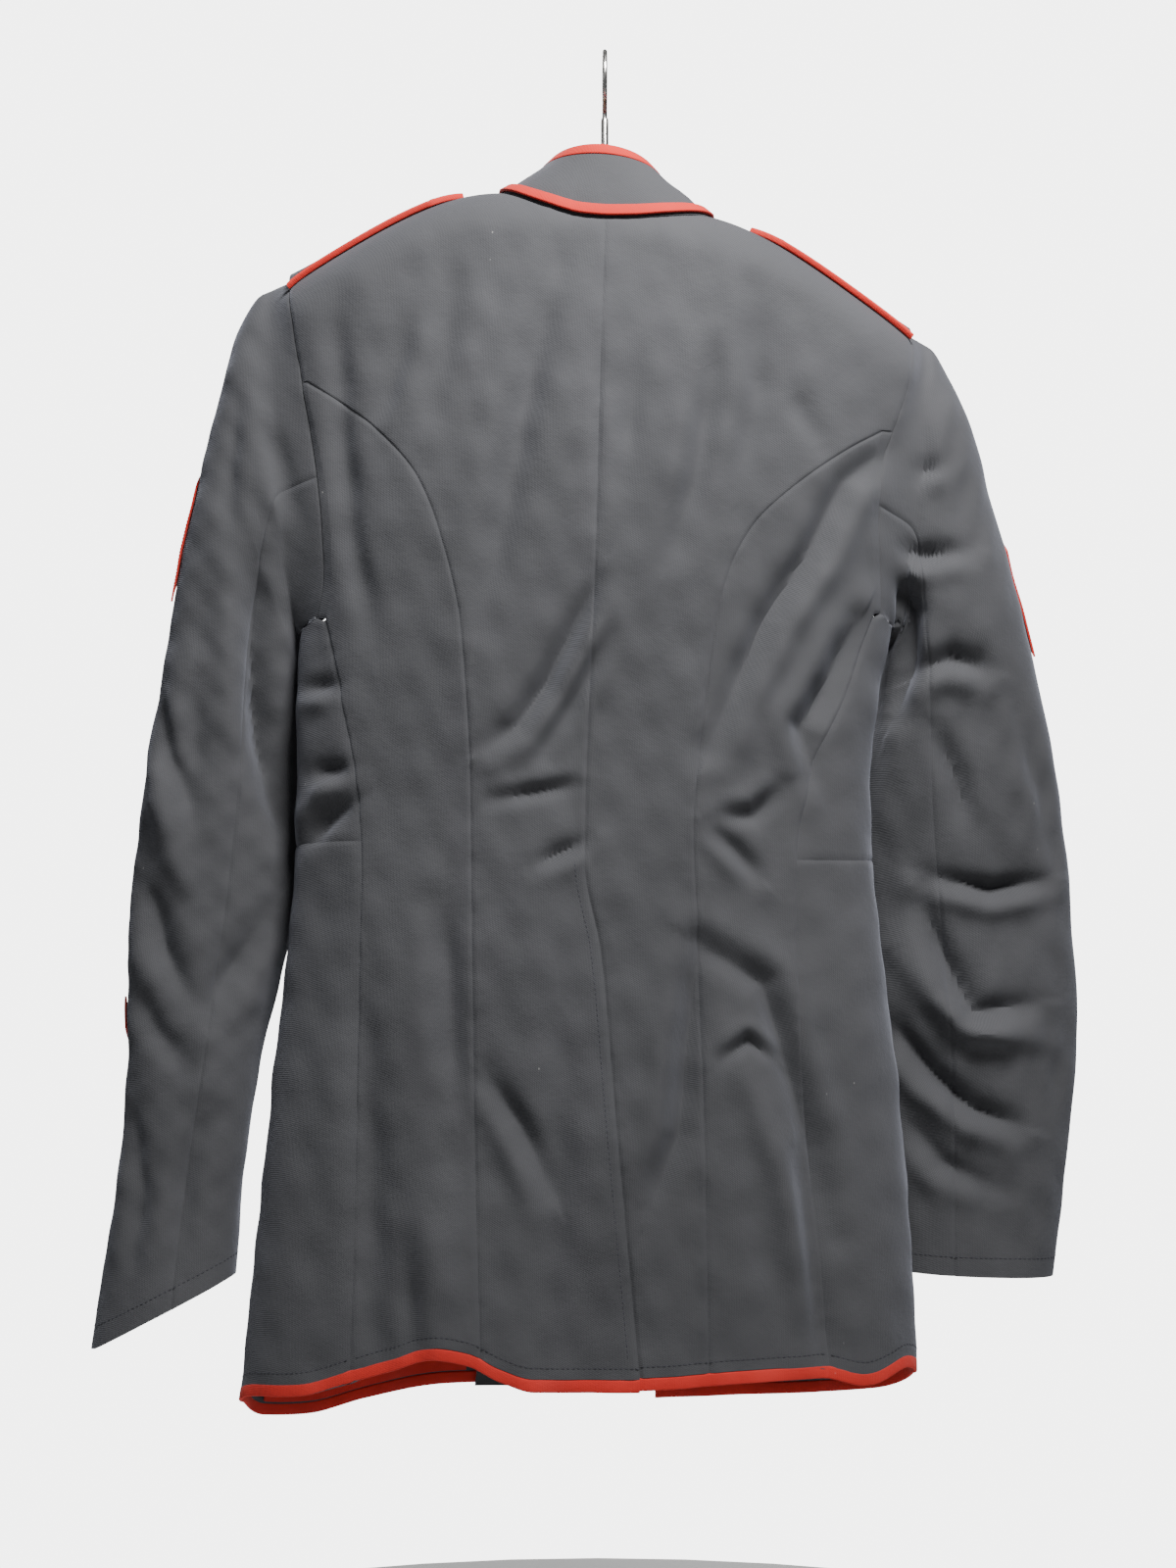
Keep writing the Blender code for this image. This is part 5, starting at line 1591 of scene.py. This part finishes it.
@dataclass
class Sleeve:
    """A two-piece sleeve that hangs from its armhole."""

    side: Side
    pattern: CoatPattern
    wardrobe: Wardrobe
    creases: CreaseField
    # outer x, outer z, inner x, inner z, outer depth place, half depth, inner depth place
    table: tuple[tuple[float, float, float, float, float, float, float], ...]
    edge: float = 0.9
    wall: float = 1.9
    cell: float = 3.2
    back_seam: float = 100.8
    front_seam: float = 240.0

    def loop(self) -> tuple[Array, Array, Array, Array]:
        """The armhole's edge.

        Returns:
            Places, directions into the hole, sleeve angles, and the angles of its two lower corners.
        """
        side, pattern = self.side, self.pattern
        down = shoulder_steps(ARMHOLE_LENGTH, self.cell, 1.0)
        foot = np.linspace(0, 1, 12)
        line = np.concatenate([
            pattern.armhole(side, Face.BACK, down),
            pattern.armhole_foot(side, foot)[1:],
            pattern.armhole(side, Face.FRONT, down)[::-1][1:-1],
        ])
        place, out = pattern.cloth(line[:, 0], line[:, 1])
        bottom = len(down) + len(foot) - 2
        away = unit(np.cross(np.roll(place, -1, axis=0) - np.roll(place, 1, axis=0), out))
        run = run_length(np.concatenate([place, place[:1]]))
        back = 180 * run[: bottom + 1] / run[bottom]
        rest = 180 + 180 * (run[bottom + 1 : -1] - run[bottom]) / (run[-1] - run[bottom])
        angles = np.concatenate([back, rest])
        dip = SEAM_PUCKER.lift(place[..., 0] + place[..., 1], place[..., 2]) - SEAM_DIP
        ring = place + out * dip[:, None]
        return ring, turned_to(away, place.mean(0) - place), angles, angles[[len(down) - 1, bottom]]

    def surface(self, turn: Array, rows: Array) -> tuple[Array, Array]:
        """Places and directions on the sleeve, with its folds.

        Args:
            turn: sleeve angles; 0 is the outer edge and 90 the back.
            rows: row numbers from 0 at the armhole, rising by one at each section.
        Returns:
            Places and directions, a row for each row number.
        """
        ring, _, loop, _ = self.loop()
        turns = np.concatenate([loop - 360, loop, loop + 360])
        start = read_columns(turn, turns, np.tile(ring, (3, 1)))
        table = np.array(self.table, float)
        outer = np.stack([table[:, 0], table[:, 4], table[:, 1]], 1)
        inner = np.stack([table[:, 2], table[:, 6], table[:, 3]], 1)
        angle, step = np.radians(turn), 0.05
        middle, axis = (outer + inner)[:, None] / 2, (outer - inner)[:, None] / 2
        sections = middle + axis * signed_power(np.cos(angle), self.edge)[None, :, None]
        sections[..., 1] += table[:, 5][:, None] * signed_power(np.sin(angle), self.edge)[None]
        sections = np.concatenate([start[None], sections])
        knots = np.arange(len(sections))
        grid = curve_value(knots, sections, rows)
        ahead = curve_value(knots, sections, np.minimum(rows + step, knots[-1]))
        ahead = ahead - curve_value(knots, sections, np.maximum(rows - step, 0))
        out = turned_to(unit(np.cross(ahead, np.gradient(grid, axis=1))), grid - grid.mean(1, keepdims=True))
        sine = np.sin(angle)
        back = np.clip(1.6 * sine, 0, 1)[None]
        front = np.clip(-1.6 * sine, 0, 1)[None]
        fade = smooth_step(np.asarray(rows) / 1.6)[:, None]
        cuff = (0.25 + 0.75 * smooth_step((knots[-1] - np.asarray(rows)) / 1.5))[:, None]
        lift = self.creases.lift(grid[..., 0], grid[..., 2]) * back
        lift = lift + 0.65 * self.creases.lift(grid[..., 0], grid[..., 2] + 28) * front
        lift = lift + Ripple(0.7, 40, 61).lift(grid[..., 1] * 1.2, grid[..., 2]) * (1 - back - front)
        return grid + out * (lift * fade * cuff)[..., None], out

    def rows(self) -> Array:
        """Row numbers about a cell apart down the sleeve.

        Returns:
            Increasing row numbers, from 0.
        """
        turn = np.arange(0.0, 360.0, 15.0)
        fine = np.linspace(0, len(self.table), 400)
        place, _ = self.surface(turn, fine)
        run = np.linalg.norm(np.diff(place, axis=0), axis=-1).max(1)
        length = np.concatenate([[0], np.cumsum(run)])
        wanted = seam_steps(length[-1], self.cell) * length[-1]
        return np.interp(wanted, length, fine)

    def build(self) -> None:
        """Makes the top and under sleeve."""
        word, rows, clear = self.side.word, self.rows(), 0.5
        spans = {
            "under_sleeve": (self.back_seam, self.front_seam),
            "top_sleeve": (self.front_seam - 360, self.back_seam),
        }
        _, hollow, loop, corners = self.loop()
        for kind, (start, end) in spans.items():
            count = round((end - start) / 3.0)
            soft = np.array([0, 0.25, 0.6]) / count
            shares = np.concatenate([soft, np.linspace(0, 1, count + 1)[1:-1], 1 - soft[::-1]])
            inside = corners[(corners > start + clear) & (corners < end - clear)]
            turn = np.sort(np.concatenate([start + (end - start) * shares, inside]))
            place, out = self.surface(turn, rows)
            away = edge_distance(place, ("inner", "outer", "top"))
            place = place - out * (0.7 * np.exp(-((away / 1.5) ** 2)))[..., None]
            normal = grid_normals(place, out)
            way = read_columns(turn % 360, loop, hollow)
            normal[0] = unit(normal[1] - np.maximum(np.sum(normal[1] * way, -1, keepdims=True), 0) * way)
            self.wardrobe.cut(f"{kind}_{word}", place, normal, self.wall)
        place, out = self.surface(np.linspace(0, 360, 150), np.array([len(self.table) - 0.35]))
        self.wardrobe.stitch(f"cuff_stitches_{word}", place[0], out[0])

    def sew(self, piece: str, turn: Array, levels: Array, count: int, lift: float) -> tuple[Array, Array]:
        """Sews a scarlet piece on the sleeve.

        Args:
            piece: the solid that it stands for.
            turn: sleeve angle of each column.
            levels: row number of each place.
            count: how many levels are read; the rest lie between them.
            lift: how far its outer face stands off the sleeve.
        Returns:
            Its places on the sleeve, and directions out of it.
        """
        fine = np.linspace(levels.min(), levels.max(), count)
        grid, out = (
            np.stack([read_columns(levels[:, c], fine, values[:, c]) for c in range(len(turn))], 1)
            for values in self.surface(turn, fine)
        )
        out = unit(out)
        self.wardrobe.cut(piece, grid + out * lift, out, 1.3, Dye.SCARLET, grid)
        return grid, out

    def chevron(self, back: float, front: float, point: float, high: float, arms: float) -> None:
        """A scarlet chevron patch.

        Args:
            back: sleeve angle of its rear edge.
            front: sleeve angle of its front edge.
            point: row number of its point.
            high: its height in rows.
            arms: how many rows lower its arms end.
        """
        across, down = np.linspace(0, 1, 60), np.linspace(0, 1, 14)
        word, lift = self.side.word, 2.2
        levels = point + high * down[:, None] + arms * np.abs(2 * across - 1)[None]
        sewn = self.sew(f"chevron_patch_{word}", back + (front - back) * across, levels, 90, lift)
        ring, out = (
            np.concatenate([part[1, 2:-2], part[1:-1, -3], part[-2, -3:1:-1], part[-2:0:-1, 2]])
            for part in sewn
        )
        row = StitchRow(1.6, 0.7, 0.2)
        self.wardrobe.stitch(f"chevron_stitches_{word}", ring + out * lift, out, row, Dye.SCARLET)

    def stripe(self) -> None:
        """The slanted stripe on the lower sleeve."""
        across, down = np.linspace(0, 1, 40), np.linspace(0, 1, 6)
        levels = 8.72 + 0.9 * across[None] + 0.28 * down[:, None]
        self.sew(f"sleeve_stripe_{self.side.word}", 4 - 88 * across, levels, 70, 2.0)


LEFT_SLEEVE = (
    (222, -160, 199, -388, -4, 33, -8),
    (238, -183, 199, -395, -4, 38, -16),
    (252, -230, 199, -406, -4, 41, -22),
    (264, -285, 197, -421, -4, 41, -28),
    (276, -345, 196, -442, -4, 40, -31),
    (287, -415, 196, -472, -5, 38, -34),
    (297, -485, 196, -512, -6, 36, -34),
    (305, -565, 200, -555, -8, 34, -30),
    (306, -640, 211, -605, -8, 33, -24),
    (307, -705, 222, -657, -8, 31, -16),
    (313, -755, 229, -710, -7, 30, -11),
    (320, -800, 233, -757, -6, 29, -8),
    (325, -841, 235, -795, -5, 28, -5),
)
RIGHT_SLEEVE = (
    (-212, -196, -188, -385, -5, 33, -9),
    (-227, -220, -186.5, -391, -6, 38, -17),
    (-241, -256, -183.5, -402, -8, 40, -24),
    (-255, -306, -180, -417, -10, 40, -30),
    (-270, -362, -177, -442, -14, 38, -32),
    (-286, -425, -171, -478, -20, 36, -37),
    (-299, -490, -168, -522, -27, 33, -40),
    (-306, -560, -171, -572, -32, 31, -40),
    (-310, -625, -176, -625, -36, 30, -40),
    (-308, -680, -181, -678, -38, 29, -40),
    (-302, -725, -185, -722, -39, 28, -40),
    (-297, -765, -187, -762, -40, 27, -40),
    (-292, -801, -188, -797, -40, 27, -40),
)


@dataclass
class Collar:
    """The standing collar with scarlet piping at its foot and along its top."""

    pattern: CoatPattern
    wardrobe: Wardrobe
    half: float = 38.0
    back: float = 38.0
    front: float = -82.0
    height: float = -75.0
    drop: float = 44.0
    lean: float = 0.07
    wall: float = 2.4
    pipe: float = 7.5
    pipe_wall: float = 2.2
    opening: float = 1.0
    seam: float = 0.35

    def foot(self) -> tuple[Array, Array, Array]:
        """The neck seam from the centre front over the left shoulder and round.

        Returns:
            Places, directions and collar angles.
        """
        parts = []
        fractions = np.linspace(0, 1, 40)
        tours = (
            (Side.LEFT, Face.FRONT, 1), (Side.LEFT, Face.BACK, -1),
            (Side.RIGHT, Face.BACK, 1), (Side.RIGHT, Face.FRONT, -1),
        )
        for side, face, order in tours:
            line = self.pattern.neckline(side, face, fractions)
            place, out = self.pattern.cloth(line[:, 0], line[:, 1])
            turn = np.degrees(np.arcsin(np.clip(place[:, 0] / SIDE_LINES[side].neck, 0, 1)))
            turn = side.value * (turn if face is Face.BACK else 180 - turn)
            skip = 1 if parts else 0
            parts.append(tuple(values[::order][skip:] for values in (place, out, turn)))
        return tuple(np.concatenate([part[i] for part in parts]) for i in range(3))

    def top(self, turn: Array) -> Array:
        """The collar's top edge at each collar angle.

        Args:
            turn: collar angles, in degrees.
        Returns:
            Rows of X, Y and Z.
        """
        turn = np.radians(turn)
        across = 2 + self.half * np.sin(turn)
        middle = (self.back + self.front) / 2
        deep = middle + (self.back - middle) * np.cos(turn)
        fall = ((1 - np.cos(turn)) / 2) ** 3
        return np.stack([across, deep, self.height - self.drop * fall + self.lean * across], -1)

    def build(self) -> None:
        """Makes the collar and its piping."""
        foot, foot_out, turn = self.foot()
        foot = foot.copy()
        foot[0, 0], foot[-1, 0] = self.opening, -self.opening
        top = self.top(turn)
        top[0, 0] += self.opening
        top[-1, 0] -= self.opening
        run = np.gradient(foot, axis=0)
        rise = unit(top - foot)
        out = turned_to(unit(np.cross(run, rise)), (foot - (0, -12, 0)) * (1, 1, 0))
        base = foot + turned_to(unit(np.cross(run, foot_out)), rise) * self.seam
        rise = unit(top - base)
        stand = 1 - (self.pipe + 0.2) / np.linalg.norm(top - base, axis=1)
        shares = np.concatenate([[0, 0.02, 0.05], np.linspace(0.1, 1, 15)])
        grid = base[None] + (top - base)[None] * (shares[:, None] * stand[None])[..., None]
        belly = np.sin(math.pi * shares)[:, None] * 0.9
        belly = belly + Ripple(0.35, 38, 71).lift(grid[..., 0] + grid[..., 1], grid[..., 2])
        guide = np.broadcast_to(out, grid.shape)
        grid = grid + guide * belly[..., None] * np.sin(math.pi * np.clip(shares, 0.05, 0.95))[:, None, None]
        ways = grid_normals(grid, guide)
        ways[0] = foot_out
        self.wardrobe.cut("collar", grid, ways, self.wall)
        upper = band_sections(top + out * 0.5, -rise, out, self.pipe - 0.2, self.wall + 1.0, 1.1)
        self.wardrobe.pipe("collar_piping_upper", upper, top)
        line = base + rise * (0.7 + self.pipe)
        lower = band_sections(line + out * (self.pipe_wall + 0.9), -rise, out, self.pipe, self.pipe_wall, 0.95)
        self.wardrobe.pipe("collar_piping_lower", lower, line)


@dataclass
class Strap:
    """A shoulder strap with a scarlet edge and a small button."""

    side: Side
    form: BodyForm
    wardrobe: Wardrobe
    half: float = 22.0
    wall: float = 3.0
    inset: float = 2.0
    neck: float = 22.0
    point: float = 20.0
    rim: float = 3.0
    rim_wall: float = 4.2
    clear: float = 0.7
    seam: float = 0.3
    button: float = 19.0

    def surface(self, across: Array, deep: Array) -> tuple[Array, Array]:
        """Places on the shoulder's top and directions out of it.

        Args:
            across: X of each place.
            deep: Y of each place.
        Returns:
            The places and the directions.
        """
        step = 0.5
        top = self.form.shoulder_top
        slope_x = (top(across + step, deep) - top(across - step, deep)) / (2 * step)
        slope_y = (top(across, deep + step) - top(across, deep - step)) / (2 * step)
        out = unit(np.stack([-slope_x, -slope_y, np.ones_like(slope_x)], -1))
        return np.stack([across, deep, top(across, deep)], -1), out

    def outline(self) -> tuple[Array, Array]:
        """Places along the strap and half its width there.

        Returns:
            X of each station, and the half widths.
        """
        sign, lines = self.side.value, SIDE_LINES[self.side]
        start = lines.shoulder - sign * self.inset
        length = abs(start - (lines.neck + sign * self.neck))
        even = length - self.point
        run = np.concatenate([np.linspace(0, even, 36), even + self.point * np.linspace(0, 1, 12)[1:]])
        taper = np.clip((length - run) / self.point, 0, 1)
        return start - sign * run, self.half * (0.35 + 0.65 * taper)

    def build(self) -> None:
        """Makes the strap, its edge, its stitches and its button."""
        sign, word = self.side.value, self.side.word
        across, half = self.outline()
        core = half - self.rim - self.seam
        inner = across.copy()
        inner[-1] += sign * (self.rim + self.seam)
        shares = np.linspace(-1, 1, 17)
        spots = np.broadcast_to(inner[:, None], (len(across), len(shares)))
        place, out = self.surface(spots, core[:, None] * shares[None])
        crown = self.wall + self.clear - 0.9 * np.abs(shares[None]) ** 8
        place = place + out * crown[..., None]
        self.wardrobe.cut(f"shoulder_strap_{word}", place, out, self.wall)
        wide = core + self.seam
        edge = np.concatenate([np.stack([across, -half], 1), np.stack([across, half], 1)[::-1]])
        inside = np.concatenate([np.stack([inner, -wide], 1), np.stack([inner, wide], 1)[::-1]])
        inside[len(across) - 1 : len(across) + 1, 0] -= sign * self.seam
        outer_place, outer_out = self.surface(edge[:, 0], edge[:, 1])
        into = self.surface(inside[:, 0], inside[:, 1])[0] - outer_place
        width = float(np.linalg.norm(into, axis=1).min())
        line = outer_place + outer_out * (self.rim_wall + self.clear - 0.1)
        sections = band_sections(line, unit(into), outer_out, width, self.rim_wall, 1.2)
        self.wardrobe.pipe(f"strap_piping_{word}", sections, outer_place)
        row, row_out = (np.concatenate([part[:, 1], part[-2, 2:-2], part[::-1, -2]]) for part in (place, out))
        self.wardrobe.stitch(f"strap_stitches_{word}", row, row_out, StitchRow(1.9, 0.8, 0.2))
        centre, way = self.surface(np.array(across[-1] + sign * self.button), np.array(0.0))
        centre = centre + way * (self.wall + self.clear + 0.4)
        Button(7.0, 4.5).build(f"strap_button_{word}", centre, way, self.wardrobe)


@dataclass
class Button:
    """A plain domed button with a rolled rim."""

    radius: float = 11.0
    rise: float = 6.0

    def build(self, node: str, centre: Array, axis: Array, wardrobe: Wardrobe) -> None:
        """Makes the button.

        Args:
            node: the solid that it stands for.
            centre: the middle of its foot.
            axis: straight out of the cloth.
            wardrobe: the finishes.
        """
        axis = unit(axis)
        side = unit(np.cross(axis, (0.0, 0.0, 1.0) if abs(axis[2]) < 0.8 else (1.0, 0.0, 0.0)))
        other = np.cross(axis, side)
        rim = [
            (0.80, 0.0), (0.90, 0.02), (0.97, 0.07), (1.0, 0.15),
            (0.985, 0.22), (0.95, 0.26), (0.915, 0.275), (0.895, 0.30),
        ]
        dome = [(0.89 * math.cos(a), 0.30 + 0.70 * math.sin(a)) for a in np.radians(np.linspace(4, 87, 14))]
        around = round_steps(48)[:, None]
        circle = np.cos(around) * side + np.sin(around) * other
        rings = np.array([
            centre + self.radius * share * circle + self.rise * height * axis for share, height in rim + dome
        ])
        wardrobe.hang(sweep(f"{node}_dome", rings, sharp=50), wardrobe.brass, "button_brass", [node])


@dataclass
class FrontButtons:
    """The row of buttons down the left front."""

    wardrobe: Wardrobe
    count: int = 7

    def build(self) -> None:
        """Makes each button on its solid's place."""
        for number in range(self.count):
            node = f"front_button_{number + 1}"
            low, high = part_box(node)
            centre = np.array([(low.x + high.x) / 2, high.y, (low.z + high.z) / 2]) / MM
            Button().build(node, centre, np.array([0.0, -1.0, 0.0]), self.wardrobe)


@dataclass
class Hanger:
    """The wooden bar, the ferrule and the wire hook."""

    form: BodyForm
    wardrobe: Wardrobe
    wire: float = 1.6
    inside: float = 17.0
    ferrule: float = 2.5
    ferrule_top: float = -42.0
    ends: tuple[float, float] = (-188.0, 195.0)
    drop: float = 2.75

    @staticmethod
    def tube(path: Array, radii: Array, around: int = 24) -> Array:
        """Round sections along a path in the plane of the hook.

        Args:
            path: places along it.
            radii: its radius at each.
            around: places in a ring.
        Returns:
            A ring of places for each station.
        """
        run = unit(np.gradient(path, axis=0))
        side = np.array([1.0, 0.0, 0.0])
        other = np.cross(run, side)
        turn = round_steps(around)[None, :, None]
        ring = np.cos(turn) * side + np.sin(turn) * other[:, None]
        return path[:, None] + radii[:, None, None] * ring

    def bar(self) -> None:
        """The bar under the shoulders, with rounded ends."""
        across = np.linspace(*self.ends, 90)
        top = self.form.ridge_height(across) - self.drop
        ends = np.minimum(across - across[0], across[-1] - across)
        size = np.sqrt(np.clip(1 - (1 - np.clip(ends / 12, 0, 1)) ** 2, 0.12, 1))
        turn = round_steps(32)
        deep = 6.4 * size[:, None] * signed_power(np.cos(turn), 0.8)
        high = (top - 9 * size)[:, None] + 8.9 * size[:, None] * signed_power(np.sin(turn), 0.8)
        rings = np.stack([np.broadcast_to(across[:, None], deep.shape), deep, high], -1)
        self.wardrobe.hang(sweep("hanger_bar_wood", rings), self.wardrobe.wood, "hanger_wood", ["hanger_bar"])

    def metal(self, node: str, name: str, path: Array, radii: Array) -> None:
        """Makes a round metal piece along a path."""
        item = sweep(name, self.tube(path, radii), sharp=60)
        self.wardrobe.hang(item, self.wardrobe.steel, "hook_steel", [node])

    def hook(self) -> None:
        """The ferrule and the hook's wire."""
        foot = float(self.form.ridge_height(0.0)) - self.drop + 0.3
        top = self.ferrule_top
        heights = np.array([foot, foot + 0.5, foot + 1.2, top - 4, top - 1.5, top - 0.5, top])
        radii = self.ferrule - np.array([0.3, 0.05, 0.0, 0.0, 0.05, 0.25, 0.6])
        path = np.stack([0 * heights, 0 * heights, heights], 1)
        self.metal("hanger_ferrule", "hanger_ferrule_metal", path, radii)
        reach = self.inside + self.wire
        turn = np.radians(np.linspace(-50, 205, 40))
        arc = [(0, reach * math.cos(a), -self.inside + reach * math.sin(a)) for a in turn]
        bend = [(0, 0, top + 0.1), (0, 0.6, top + 3), (0, 4.5, top + 6.5)]
        path = along(bend + arc, np.linspace(0, 1, 140))
        radii = np.full(len(path), self.wire)
        radii[-5:] = self.wire * np.array([0.99, 0.94, 0.84, 0.65, 0.35])
        self.metal("hanger_hook", "hanger_hook_wire", path, radii)

    def build(self) -> None:
        """Makes the whole hanger."""
        self.bar()
        self.hook()


@dataclass
class Studio:
    """A plain pale floor, soft lights, and the camera at the photograph's place."""

    camera: Triple = (0.011, 1.260, -0.5783)
    pitch: float = 4.3
    lens: float = 45.0
    floor: float = -1.28

    def light(
        self, name: str, place: Triple, aim: Triple, size: float, power: float, colour: Triple = (1, 1, 1),
    ) -> None:
        """Adds a square soft light.

        Args:
            name: its name.
            place: where it stands.
            aim: what it faces.
            size: its side.
            power: in watts.
            colour: its tint.
        """
        data = bpy.data.lights.new(name, "AREA")
        data.shape, data.size, data.energy, data.color = "SQUARE", size, power, colour
        lamp = bpy.data.objects.new(name, data)
        lamp.location = place
        lamp.rotation_euler = (Vector(aim) - Vector(place)).to_track_quat("-Z", "Y").to_euler()
        bpy.context.scene.collection.objects.link(lamp)

    def world(self) -> None:
        """A soft pale surround: dimmer as light than as background."""
        world = bpy.data.worlds.new("surround")
        bpy.context.scene.world = world
        world.use_nodes = True
        nodes, links = world.node_tree.nodes, world.node_tree.links
        seen, lit = nodes["Background"], nodes.new("ShaderNodeBackground")
        seen.inputs["Color"].default_value = (1.0, 1.0, 0.995, 1)
        seen.inputs["Strength"].default_value = 5.0
        lit.inputs["Color"].default_value = (0.95, 0.97, 1.0, 1)
        lit.inputs["Strength"].default_value = 0.10
        path, mix = nodes.new("ShaderNodeLightPath"), nodes.new("ShaderNodeMixShader")
        links.new(path.outputs["Is Camera Ray"], mix.inputs[0])
        links.new(lit.outputs[0], mix.inputs[1])
        links.new(seen.outputs[0], mix.inputs[2])
        links.new(mix.outputs[0], nodes["World Output"].inputs["Surface"])

    def build(self) -> None:
        """Makes the studio."""
        turn, radius = round_steps(64), 1000
        rim = np.stack([radius * np.cos(turn), radius * np.sin(turn), np.full(64, self.floor / MM)], 1)
        disc = mesh_object("floor", rim, [tuple(range(64))])
        disc.data.materials.append(Paint().build())
        self.light("key", (-0.26, 0.74, 0.56), (0.0, 0.0, -0.28), 0.42, 37.0, (1.0, 0.99, 0.98))
        self.light("fill", (1.5, 1.3, 0.2), (0.0, 0.0, -0.5), 1.2, 1.6, (0.96, 0.98, 1.0))
        self.light("front", (0.7, -1.9, 0.6), (0.0, 0.0, -0.45), 1.4, 34.0)
        self.world()
        data = bpy.data.cameras.new("photograph")
        data.lens, data.sensor_width = self.lens, 36.0
        data.clip_start, data.clip_end = 0.01, 50.0
        camera = bpy.data.objects.new("photograph", data)
        camera.location = self.camera
        camera.rotation_euler = (math.radians(90 + self.pitch), 0.0, math.pi)
        bpy.context.scene.collection.objects.link(camera)
        bpy.context.scene.camera = camera


def main() -> None:
    """Builds the coat piece by piece, then the studio."""
    logging.basicConfig(level=logging.INFO, format="%(name)s %(message)s")
    pattern = CoatPattern()
    wardrobe = Wardrobe()
    Body(pattern, wardrobe).build()
    left = Sleeve(Side.LEFT, pattern, wardrobe, LEFT_SLEEVE_CREASES, LEFT_SLEEVE, back_seam=100.8)
    right = Sleeve(Side.RIGHT, pattern, wardrobe, RIGHT_SLEEVE_CREASES, RIGHT_SLEEVE, back_seam=106.6)
    left.build()
    right.build()
    left.chevron(11, -95, 3.3, 1.15, 0.85)
    right.chevron(4, -102, 3.6, 1.15, 0.85)
    left.stripe()
    Collar(pattern, wardrobe).build()
    for side in Side:
        Strap(side, pattern.form, wardrobe).build()
    FrontButtons(wardrobe).build()
    Hanger(pattern.form, wardrobe).build()
    Studio().build()


if __name__ == "__main__":
    main()
